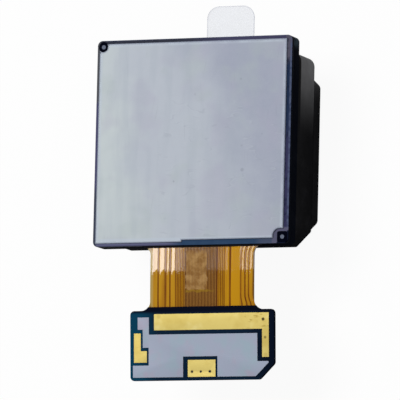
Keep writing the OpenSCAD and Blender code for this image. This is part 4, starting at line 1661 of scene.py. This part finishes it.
@dataclass
class ProtectiveFilm:
    """Clear film on the lens side, with its pull tab."""

    radius: float = 7.0
    tab_width: float = 4.9
    tab_x: float = 0.1
    tab_radius: float = 1.2
    rim_width: float = 0.09

    def outline(self) -> list[Vector]:
        """Round film that runs into the tab.

        Returns:
            Points in order round the film.
        """
        _, high = box_mm("lens_film")
        half = self.tab_width / 2
        right, left = self.tab_x + half, self.tab_x - half
        start = math.acos(right / self.radius)
        end = math.acos(left / self.radius) - 2 * math.pi
        points = arc(Vector((0, 0)), self.radius, start, end, 72)
        points.reverse()
        r = self.tab_radius
        points += arc(Vector((right - r, high.y - r)), r, 0, math.pi / 2, 12)
        points += arc(Vector((left + r, high.y - r)), r, math.pi / 2, math.pi, 12)
        return points

    def build(self) -> None:
        """Builds the film with a narrow cut edge."""
        low, high = box_mm("lens_film")
        outline = self.outline()
        part = Part("film_sheet", finishes=(CLEAR_FILM,))
        loops = [
            flat_loop(outline, low.z),
            flat_loop(outline, high.z - 0.02),
            flat_loop(inset(outline, 0.02), high.z),
            flat_loop(inset(outline, self.rim_width), high.z),
        ]
        part.loft(loops, weights=(0.6, 1.0, 1.0, 0.0))
        part.finish("lens_film", slot="film")


class GeometryTree:
    """Geometry node tree with named inputs, applied to a plain mesh."""

    def __init__(self, name: str) -> None:
        """Starts an empty tree.

        Args:
            name: Name of the tree.
        """
        self.tree = bpy.data.node_groups.new(name, "GeometryNodeTree")
        face = self.tree.interface
        face.new_socket("Geometry", in_out="INPUT", socket_type="NodeSocketGeometry")
        face.new_socket("Geometry", in_out="OUTPUT", socket_type="NodeSocketGeometry")
        self.pen = NodePen(self.tree)
        self.source = self.pen.node("NodeGroupInput")
        self.values: dict[str, float] = {}

    def number(self, name: str, value: float) -> Socket:
        """Adds a named number input.

        Args:
            name: Name of the input.
            value: Its value.

        Returns:
            The input's socket inside the tree.
        """
        made = self.tree.interface.new_socket(name, in_out="INPUT", socket_type="NodeSocketFloat")
        self.values[made.identifier] = value
        return self.source.outputs[name]

    def geometry(self) -> Socket:
        """The geometry that the tree is given."""
        return self.source.outputs["Geometry"]

    def close(self, shape: Socket, finish: Finish) -> None:
        """Ends the tree with plain instances and a finish.

        Args:
            shape: Geometry that the tree makes.
            finish: Finish of the shape.
        """
        plain = self.pen.node("GeometryNodeRealizeInstances")
        painted = self.pen.node("GeometryNodeSetMaterial")
        output = self.pen.node("NodeGroupOutput")
        self.pen.feed(plain.inputs[0], shape)
        self.pen.feed(painted.inputs["Geometry"], plain.outputs[0])
        painted.inputs["Material"].default_value = finish.material()
        self.pen.feed(output.inputs[0], painted.outputs[0])

    def apply(self, data: bpy.types.ID, name: str) -> bpy.types.Mesh:
        """Runs the tree on a mesh or curve.

        Args:
            data: Mesh or curve, in metres.
            name: Name of the resulting mesh.

        Returns:
            The plain mesh that the tree makes.
        """
        carrier = bpy.data.objects.new(name + "_source", data)
        bpy.context.scene.collection.objects.link(carrier)
        modifier = carrier.modifiers.new(self.tree.name, "NODES")
        modifier.node_group = self.tree
        for identifier, value in self.values.items():
            modifier[identifier] = value
        graph = bpy.context.evaluated_depsgraph_get()
        made = bpy.data.meshes.new_from_object(carrier.evaluated_get(graph))
        made.name = name
        finish = [material for material in made.materials if material][0]
        made.materials.clear()
        made.materials.append(finish)
        made.polygons.foreach_set("material_index", [0] * len(made.polygons))
        carrier.modifiers.remove(modifier)
        bpy.data.objects.remove(carrier)
        return made


@dataclass
class BlockRow:
    """Like small blocks of one node, each shaped from a rounded unit block."""

    node: str
    finish: Finish
    slot: str
    waist: float = 1.0
    rounding: float = 0.16
    end_share: float = 0.6
    end_blur: float = 0.1
    squareness: float = 6.0
    grid: tuple[int, int, int] = (11, 5, 5)

    def spots(self) -> bpy.types.Mesh:
        """One point for each block, with its size and turn as attributes.

        Returns:
            Mesh of the points, without faces.
        """
        boxes = solids_mm(self.node)
        data = bpy.data.meshes.new(self.node + "_spots")
        data.from_pydata([(low + high) / 2 * MM for low, high in boxes], [], [])
        sizes, turns = [], []
        for low, high in boxes:
            size = (high - low) * MM
            along_x = size.x >= size.y
            sizes += (size.x, size.y, size.z) if along_x else (size.y, size.x, size.z)
            turns.append(0.0 if along_x else math.pi / 2)
        data.attributes.new("size", "FLOAT_VECTOR", "POINT").data.foreach_set("vector", sizes)
        data.attributes.new("turn", "FLOAT", "POINT").data.foreach_set("value", turns)
        return data

    def block(self, made: GeometryTree) -> Socket:
        """Adds the nodes of one block, one by one by one, with rounded edges and a waist.

        Args:
            made: Tree that takes the nodes.

        Returns:
            The block's geometry.
        """
        pen = made.pen
        rounding = made.number("Rounding", self.rounding)
        waist = made.number("Waist", self.waist)
        cube = pen.node("GeometryNodeMeshCube")
        pen.feed(cube.inputs["Size"], (1.0, 1.0, 1.0))
        for socket, count in zip(("Vertices X", "Vertices Y", "Vertices Z"), self.grid):
            cube.inputs[socket].default_value = count
        x, y, z = pen.split(pen.node("GeometryNodeInputPosition").outputs[0])
        shares = [pen.math("ABSOLUTE", pen.math("MULTIPLY", place, 2.0)) for place in (x, y, z)]
        bulge = [pen.math("POWER", share, self.squareness) for share in shares]
        end = pen.span(shares[0], self.end_share - self.end_blur, self.end_share + self.end_blur)
        girth = pen.math("ADD", pen.math("MULTIPLY", pen.math("SUBTRACT", 1.0, waist), end), waist)
        shaped = []
        for own, first, second, scale in ((x, 1, 2, 1.0), (y, 0, 2, girth), (z, 0, 1, girth)):
            both = pen.math("MULTIPLY", pen.math("ADD", bulge[first], bulge[second]), 0.5)
            keep = pen.math("SUBTRACT", 1.0, pen.math("MULTIPLY", both, rounding))
            shaped.append(pen.math("MULTIPLY", pen.math("MULTIPLY", own, keep), scale))
        marked = pen.node("GeometryNodeStoreNamedAttribute", data_type="FLOAT", domain="POINT")
        pen.feed(marked.inputs["Geometry"], cube.outputs["Mesh"])
        marked.inputs["Name"].default_value = "end"
        pen.feed(marked.inputs["Value"], end)
        placed = pen.node("GeometryNodeSetPosition")
        pen.feed(placed.inputs["Geometry"], marked.outputs[0])
        pen.feed(placed.inputs["Position"], pen.join(*shaped))
        return placed.outputs[0]

    def build(self) -> None:
        """Builds all blocks as one piece."""
        made = GeometryTree(self.node + "_blocks")
        pen = made.pen
        points = pen.node("GeometryNodeMeshToPoints")
        pen.feed(points.inputs["Mesh"], made.geometry())
        size = pen.node("GeometryNodeInputNamedAttribute", data_type="FLOAT_VECTOR")
        size.inputs["Name"].default_value = "size"
        turn = pen.node("GeometryNodeInputNamedAttribute", data_type="FLOAT")
        turn.inputs["Name"].default_value = "turn"
        copies = pen.node("GeometryNodeInstanceOnPoints")
        pen.feed(copies.inputs["Points"], points.outputs[0])
        pen.feed(copies.inputs["Instance"], self.block(made))
        pen.feed(copies.inputs["Rotation"], pen.join(0.0, 0.0, turn.outputs["Attribute"]))
        pen.feed(copies.inputs["Scale"], size.outputs["Attribute"])
        made.close(copies.outputs[0], self.finish)
        data = made.apply(self.spots(), self.node + "_shaped")
        place_piece(data, self.node + "_shaped", Body.MODULE, [self.node])


@dataclass
class Winding:
    """Race-track coil of round wire, wound in turns and layers."""

    node: str
    band: float = 0.75
    inner_radius: float = 0.1
    turns: int = 7
    layers: int = 4
    corner_steps: int = 6
    wire_sides: int = 6

    def __post_init__(self) -> None:
        """Takes the coil's place and the wire's thickness from its box."""
        low, high = box_mm(self.node)
        size = high - low
        self.middle = (high + low) / 2
        self.faces_x = size.x < size.y
        self.length, self.depth = (size.y, size.x) if self.faces_x else (size.x, size.y)
        self.height = size.z
        self.wire = min(self.band / self.turns, self.depth / self.layers) / 2

    def turn_place(self, made: GeometryTree, index: Socket, most: Socket, radius: Socket) -> Socket:
        """Adds the nodes that move a copy of the innermost turn out to its own turn and layer.

        Args:
            made: Tree that takes the nodes.
            index: Number of the copy, counted through all layers.
            most: Centre of one rounded corner, which bounds the coil's core.
            radius: Corner radius of the innermost turn.

        Returns:
            Place of the copy's points.
        """
        pen = made.pen
        wire = self.wire
        turn_pitch = made.number("Turn pitch", (self.band - 2 * wire) / (self.turns - 1) * MM)
        layer_pitch = made.number("Layer pitch", (self.depth - 2 * wire) / (self.layers - 1) * MM)
        turn = pen.math("MODULO", index, float(self.turns))
        layer = pen.math("FLOOR", pen.math("DIVIDE", index, float(self.turns)))
        place = pen.node("GeometryNodeInputPosition").outputs[0]
        least = pen.vector_math("MULTIPLY", most, (-1.0, -1.0, 0.0))
        core = pen.vector_math("MINIMUM", pen.vector_math("MAXIMUM", place, least), most)
        outward = pen.vector_math("NORMALIZE", pen.vector_math("SUBTRACT", place, core))
        x, y, _ = pen.split(outward)
        base_x, base_y, _ = pen.split(core)
        reach = pen.math("MULTIPLY_ADD", turn, turn_pitch, radius)
        along = pen.math("MULTIPLY_ADD", x, reach, base_x)
        upward = pen.math("MULTIPLY_ADD", y, reach, base_y)
        from_middle = pen.math("SUBTRACT", layer, (self.layers - 1) / 2)
        through = pen.math("MULTIPLY", from_middle, layer_pitch)
        return pen.join(through, along, upward) if self.faces_x else pen.join(along, through, upward)

    def build(self) -> None:
        """Winds the wire round the coil's core and lays the turns side by side."""
        made = GeometryTree(self.node + "_winding")
        pen = made.pen
        inwards = self.wire - self.band
        radius = made.number("Corner", (self.inner_radius + self.wire) * MM)
        half_x = made.number("Half length", (self.length / 2 + inwards) * MM)
        half_y = made.number("Half height", (self.height / 2 + inwards) * MM)
        loop = pen.node("GeometryNodeCurvePrimitiveQuadrilateral", mode="RECTANGLE")
        pen.feed(loop.inputs["Width"], pen.math("MULTIPLY", half_x, 2.0))
        pen.feed(loop.inputs["Height"], pen.math("MULTIPLY", half_y, 2.0))
        rounded = pen.node("GeometryNodeFilletCurve", mode="POLY")
        pen.feed(rounded.inputs["Curve"], loop.outputs[0])
        rounded.inputs["Count"].default_value = self.corner_steps
        pen.feed(rounded.inputs["Radius"], radius)
        copies = pen.node("GeometryNodeDuplicateElements", domain="SPLINE")
        pen.feed(copies.inputs["Geometry"], rounded.outputs[0])
        copies.inputs["Amount"].default_value = self.turns * self.layers
        most = pen.join(pen.math("SUBTRACT", half_x, radius), pen.math("SUBTRACT", half_y, radius), 0.0)
        moved = pen.node("GeometryNodeSetPosition")
        pen.feed(moved.inputs["Geometry"], copies.outputs[0])
        index = copies.outputs["Duplicate Index"]
        pen.feed(moved.inputs["Position"], self.turn_place(made, index, most, radius))
        pen.feed(moved.inputs["Offset"], tuple(self.middle * MM))
        profile = pen.node("GeometryNodeCurvePrimitiveCircle", mode="RADIUS")
        profile.inputs["Resolution"].default_value = self.wire_sides
        pen.feed(profile.inputs["Radius"], made.number("Wire", self.wire * MM))
        swept = pen.node("GeometryNodeCurveToMesh")
        pen.feed(swept.inputs["Curve"], moved.outputs[0])
        pen.feed(swept.inputs["Profile Curve"], profile.outputs[0])
        made.close(swept.outputs[0], COPPER_WIRE)
        data = made.apply(bpy.data.meshes.new(self.node + "_start"), self.node + "_wound")
        place_piece(data, self.node + "_wound", Body.MODULE, [self.node], 60.0)


@dataclass
class FlexCable:
    """Flex cable whose film and copper tracks follow one drooping route."""

    width: float = 10.6
    centre: float = 1.2
    length: float = 5.85
    thickness: float = 0.12
    fillet: float = 0.9
    tongue: float = 0.35
    droop: float = 4.3
    root_height: float = 0.2
    track_height: float = 0.03
    border: float = 0.34
    fan_start: float = 3.9
    fan_reach: float = 0.3
    fan_fillets: float = 1.6
    fan_power: float = 2.5
    shoulder_power: float = 4.0
    shoulder_fall: float = 0.7
    rows: int = 48
    columns: int = 40
    crowding: float = 1.6

    def __post_init__(self) -> None:
        """Takes the root's place from the board."""
        low, _ = box_mm("main_board")
        self.root_y = low.y
        self.middle_z = low.z + self.root_height
        self.end_y = self.root_y - self.length

    def half_width(self, y: float) -> float:
        """Half width of the film at a place along the cable, with its end fillets.

        Args:
            y: Place along the cable.

        Returns:
            Half width in millimetres.
        """
        half = self.width / 2
        for end in (self.root_y - y, y - self.end_y + self.tongue):
            if end < self.fillet:
                half += self.fillet - math.sqrt(self.fillet**2 - (self.fillet - max(end, 0)) ** 2)
        return half

    def flat_film(self) -> bpy.types.Mesh:
        """Film before it is bent: a closed sheet of even rows.

        Returns:
            Mesh of the flat film.
        """
        shape = bmesh.new()
        edge = shape.verts.layers.float.new("edge")
        rows, columns = self.rows, self.columns
        grid: list[list[list[bmesh.types.BMVert]]] = []
        for height in (-self.thickness / 2, self.thickness / 2):
            layer = []
            for r in range(rows + 1):
                y = self.root_y - self.length * r / rows
                half = self.half_width(y)
                line = []
                for c in range(columns + 1):
                    share = 2 * c / columns - 1
                    near = math.copysign(1 - (1 - abs(share)) ** self.crowding, share)
                    vertex = shape.verts.new(Vector((self.centre + half * near, y, height)) * MM)
                    vertex[edge] = max(0.0, 1.0 - half * (1 - abs(near)) / self.border)
                    line.append(vertex)
                layer.append(line)
            grid.append(layer)
        low, high = grid
        for r in range(rows):
            for c in range(columns):
                top = (high[r][c], high[r + 1][c], high[r + 1][c + 1], high[r][c + 1])
                shape.faces.new(top)
                under = (low[r][c], low[r][c + 1], low[r + 1][c + 1], low[r + 1][c])
                shape.faces.new(under)
        for r in range(rows):
            shape.faces.new((low[r][0], low[r + 1][0], high[r + 1][0], high[r][0]))
            shape.faces.new((low[r + 1][-1], low[r][-1], high[r][-1], high[r + 1][-1]))
        for c in range(columns):
            shape.faces.new((low[0][c + 1], low[0][c], high[0][c], high[0][c + 1]))
            shape.faces.new((low[-1][c], low[-1][c + 1], high[-1][c + 1], high[-1][c]))
        bmesh.ops.recalc_face_normals(shape, faces=shape.faces)
        data = bpy.data.meshes.new("flat_film")
        shape.to_mesh(data)
        shape.free()
        return data

    def track_spots(self) -> bpy.types.Mesh:
        """One point for each track, at its middle, with its width as an attribute.

        Returns:
            Mesh of the points, without faces.
        """
        data = bpy.data.meshes.new("track_spots")
        boxes = solids_mm("flex_traces")
        middle = self.root_y - self.length / 2
        places = [Vector(((a.x + b.x) / 2, middle, self.thickness / 2)) * MM for a, b in boxes]
        data.from_pydata(places, [], [])
        widths = data.attributes.new("width", "FLOAT", "POINT")
        widths.data.foreach_set("value", [(b.x - a.x) * MM for a, b in boxes])
        return data

    def bend(self, made: GeometryTree, shape: Socket, fan: float = 0.0) -> Socket:
        """Adds the nodes that fan a shape out at both ends and bend it down the route.

        Args:
            made: Tree that the nodes go into.
            shape: Geometry that is bent.
            fan: How far its right edge moves out at the ends.

        Returns:
            The bent geometry.
        """
        pen = made.pen
        root = made.number("Root", self.root_y * MM)
        height = made.number("Height", self.middle_z * MM)
        length = made.number("Length", self.length * MM)
        fall = made.number("Fall", math.tan(math.radians(self.droop)) / 2)
        reach = made.number("Fan", fan * MM)
        place = pen.node("GeometryNodeInputPosition").outputs[0]
        x, y, z = pen.split(place)
        run = pen.math("SUBTRACT", root, y)
        drop = pen.math("DIVIDE", pen.math("MULTIPLY", run, run), length)
        lowered = pen.math("SUBTRACT", height, pen.math("MULTIPLY", drop, fall))
        far = self.centre + self.width / 2
        side = pen.span(x, self.fan_start * MM, far * MM)
        fanned = self.fan_fillets * self.fillet * MM
        near_root = pen.span(run, fanned, 0.0)
        near_end = pen.span(pen.math("SUBTRACT", length, run), fanned, 0.0)
        ends = pen.math("POWER", pen.math("MAXIMUM", near_root, near_end), self.fan_power)
        moved = pen.math("MULTIPLY_ADD", pen.math("MULTIPLY", side, ends), reach, x)
        bent = pen.node("GeometryNodeSetPosition")
        pen.feed(bent.inputs["Geometry"], shape)
        pen.feed(bent.inputs["Position"], pen.join(moved, y, pen.math("ADD", z, lowered)))
        return bent.outputs[0]

    def ridge(self, made: GeometryTree) -> Socket:
        """Adds the nodes of one track: a low bar with rounded shoulders, one millimetre wide.

        Args:
            made: Tree that takes the nodes.

        Returns:
            The track's geometry.
        """
        pen = made.pen
        height = made.number("Track height", self.track_height * MM)
        bar = pen.node("GeometryNodeMeshCube")
        pen.feed(bar.inputs["Size"], (1.0, self.length * MM, 1.0))
        for socket, count in zip(("Vertices X", "Vertices Y", "Vertices Z"), (6, 25, 2)):
            bar.inputs[socket].default_value = count
        x, y, z = pen.split(pen.node("GeometryNodeInputPosition").outputs[0])
        off = pen.math("ABSOLUTE", pen.math("MULTIPLY", x, 2.0))
        fallen = pen.math("MULTIPLY", pen.math("POWER", off, self.shoulder_power), self.shoulder_fall)
        shoulder = pen.math("SUBTRACT", 1.0, fallen)
        rise = pen.math("MULTIPLY", pen.math("MULTIPLY", shoulder, height), pen.math("ADD", z, 0.5))
        shaped = pen.node("GeometryNodeSetPosition")
        pen.feed(shaped.inputs["Geometry"], bar.outputs["Mesh"])
        pen.feed(shaped.inputs["Position"], pen.join(x, y, rise))
        return shaped.outputs[0]

    def build(self) -> None:
        """Builds the film and the tracks on it."""
        film = GeometryTree("film_route")
        film.close(self.bend(film, film.geometry()), FILM)
        data = film.apply(self.flat_film(), "flex_film")
        place_piece(data, "flex_film", Body.MODULE, ["flex_cable"])
        tracks = GeometryTree("track_route")
        pen = tracks.pen
        spots = pen.node("GeometryNodeMeshToPoints")
        pen.feed(spots.inputs["Mesh"], tracks.geometry())
        width = pen.node("GeometryNodeInputNamedAttribute", data_type="FLOAT")
        width.inputs["Name"].default_value = "width"
        copies = pen.node("GeometryNodeInstanceOnPoints")
        pen.feed(copies.inputs["Points"], spots.outputs[0])
        pen.feed(copies.inputs["Instance"], self.ridge(tracks))
        pen.feed(copies.inputs["Scale"], pen.join(width.outputs["Attribute"], 1.0, 1.0))
        plain = pen.node("GeometryNodeRealizeInstances")
        pen.feed(plain.inputs[0], copies.outputs[0])
        tracks.close(self.bend(tracks, plain.outputs[0], self.fan_reach), TRACK)
        data = tracks.apply(self.track_spots(), "flex_tracks")
        place_piece(data, "flex_tracks", Body.MODULE, ["flex_traces"])


@dataclass
class ConnectorEnd:
    """Connector board with its stiffener, gold pads and board connector."""

    def dress(self) -> None:
        """Dresses the board and what it carries."""
        soften("connector_board", CONNECTOR_MASK)
        soften("board_stiffener", STIFFENER, 0.015)
        soften("ground_pads", GOLD, 0.01)
        soften("connector_body", PLUG, 0.04)
        soften("connector_anchors", TINNED, 0.03)
        BlockRow("connector_contacts", CONTACT_GOLD, "gold").build()


@dataclass
class Mechanism:
    """Focus carrier, stabiliser and lens, inside the shells."""

    elements: int = 7

    def dress(self) -> None:
        """Dresses the moving pieces."""
        dress(CARRIER, "focus_carrier", "stabiliser_frame", "lens_holder")
        dress(NICKEL, "focus_magnet", "stabiliser_magnet_x", "stabiliser_magnet_y")
        dress(STEEL, "pull_yokes")
        dress(BALL, "focus_balls", "stabiliser_balls_x", "stabiliser_balls_y")
        dress(BARREL, "lens_barrel", "lens_spacers", "lens_retainer")
        dress(LENS, *(f"lens_{number}" for number in range(1, self.elements + 1)))


# ---- Studio ----


@dataclass
class Studio:
    """Pale floor, soft light and camera."""

    floor_size: float = 4.0
    floor_glow: float = 0.94
    sky: float = 0.35
    gloss_sky: float = 0.3
    key_distance: float = 0.5
    key_low: float = 0.058
    key_high: float = 0.62
    key_x: tuple[float, float] = (-0.66, -0.1)
    key_radiance: float = 9.5
    flex_middle: float = -0.0125

    def seen_share(self, pen: NodePen) -> Socket:
        """1 for rays that show the background: camera and transmission rays.

        Args:
            pen: Pen of the shader.

        Returns:
            Share of 0 or 1, as a socket.
        """
        path = pen.node("ShaderNodeLightPath")
        return pen.math(
            "MAXIMUM", path.outputs["Is Camera Ray"], path.outputs["Is Transmission Ray"]
        )

    def build_floor(self) -> None:
        """Lays the floor, white to the camera but for the object's soft shadow."""
        half = self.floor_size / 2
        data = bpy.data.meshes.new("floor")
        ground = -0.02 * MM
        corners = [(-half, -half, ground), (half, -half, ground), (half, half, ground), (-half, half, ground)]
        data.from_pydata(corners, [], [(0, 1, 2, 3)])
        material = bpy.data.materials.new("studio_floor")
        material.use_nodes = True
        pen = NodePen(material.node_tree)
        pen.tree.nodes.clear()
        matt = pen.node("ShaderNodeBsdfDiffuse")
        pen.feed(matt.inputs["Color"], (0.92, 0.92, 0.92))
        glow = pen.node("ShaderNodeEmission")
        pen.feed(glow.inputs["Strength"], 1.0)
        mix = pen.node("ShaderNodeMixShader")
        pen.feed(mix.inputs[0], pen.math("MULTIPLY", self.seen_share(pen), self.floor_glow))
        pen.feed(mix.inputs[1], matt.outputs[0])
        pen.feed(mix.inputs[2], glow.outputs[0])
        output = pen.node("ShaderNodeOutputMaterial")
        pen.feed(output.inputs["Surface"], mix.outputs[0])
        data.materials.append(material)
        floor = bpy.data.objects.new("floor", data)
        bpy.context.scene.collection.objects.link(floor)

    def build_sky(self) -> None:
        """Sets an even sky: white to the camera, dim in reflections."""
        world = bpy.data.worlds.new("studio")
        world.use_nodes = True
        bpy.context.scene.world = world
        pen = NodePen(world.node_tree)
        pen.tree.nodes.clear()
        sky = pen.node("ShaderNodeBackground")
        glossy = pen.node("ShaderNodeLightPath").outputs["Is Glossy Ray"]
        plain = pen.math("MULTIPLY_ADD", glossy, (self.gloss_sky - 1.0) * self.sky, self.sky)
        seen = self.seen_share(pen)
        kept = pen.math("MULTIPLY", pen.math("SUBTRACT", 1.0, seen), plain)
        pen.feed(sky.inputs["Strength"], pen.math("ADD", seen, kept))
        output = pen.node("ShaderNodeOutputWorld")
        pen.feed(output.inputs["Surface"], sky.outputs[0])

    def build_key(self) -> None:
        """Hangs the key softbox above and to the left, with its front edge close overhead."""
        width = (self.key_x[1] - self.key_x[0]) * self.key_distance
        depth = (self.key_high - self.key_low) * self.key_distance
        data = bpy.data.lights.new("key_softbox", "AREA")
        data.shape = "RECTANGLE"
        data.size = width
        data.size_y = depth
        data.energy = self.key_radiance * math.pi * width * depth
        lamp = bpy.data.objects.new("key_softbox", data)
        lamp.location = (
            (self.key_x[0] + self.key_x[1]) / 2 * self.key_distance,
            (self.key_low + self.key_high) / 2 * self.key_distance + self.flex_middle,
            self.key_distance,
        )
        bpy.context.scene.collection.objects.link(lamp)

    def build(self) -> None:
        """Builds the whole studio."""
        bpy.context.scene.view_settings.view_transform = "Standard"
        self.build_floor()
        self.build_sky()
        self.build_key()
        log.info("studio: floor, sky and key softbox")


@dataclass
class ViewPoint:
    """Camera that looks down on the module from the front right, with +Y up in the picture."""

    across: float = 21.268
    tilt: float = 7.073
    roll: float = 1.343
    distance: float = 600.0
    target: tuple[float, float, float] = (-0.758, -4.609, 5.0)
    lens: float = 561.17

    def build(self) -> None:
        """Creates the camera and makes it the scene's own."""
        across, tilt, roll = (math.radians(a) for a in (self.across, self.tilt, self.roll))
        back = Vector(
            (math.sin(across) * math.cos(tilt), -math.sin(tilt), math.cos(across) * math.cos(tilt))
        )
        level = Vector((0, 1, 0)).cross(back).normalized()
        upright = back.cross(level)
        right = level * math.cos(roll) + upright * math.sin(roll)
        up = upright * math.cos(roll) - level * math.sin(roll)
        data = bpy.data.cameras.new("camera")
        data.lens = self.lens
        data.sensor_width = 36.0
        data.clip_start, data.clip_end = 0.01, 20.0
        camera = bpy.data.objects.new("camera", data)
        turn = Matrix((right, up, back)).transposed().to_4x4()
        place = (Vector(self.target) + back * self.distance) * MM
        camera.matrix_world = Matrix.Translation(place) @ turn
        bpy.context.scene.collection.objects.link(camera)
        bpy.context.scene.camera = camera
        log.info("camera: %.0f mm away", self.distance)


def main() -> None:
    """Builds and dresses the module."""
    logging.basicConfig(level=logging.INFO, format="%(name)s: %(message)s")
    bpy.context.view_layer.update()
    ViewPoint().build()
    Studio().build()
    sensor_side = SensorSide()
    sensor_side.build()
    sensor_side.dress()
    shell = Shell()
    shell.build()
    shell.dress()
    ProtectiveFilm().build()
    FlexCable().build()
    ConnectorEnd().dress()
    Mechanism().dress()


if __name__ == "__main__":
    main()
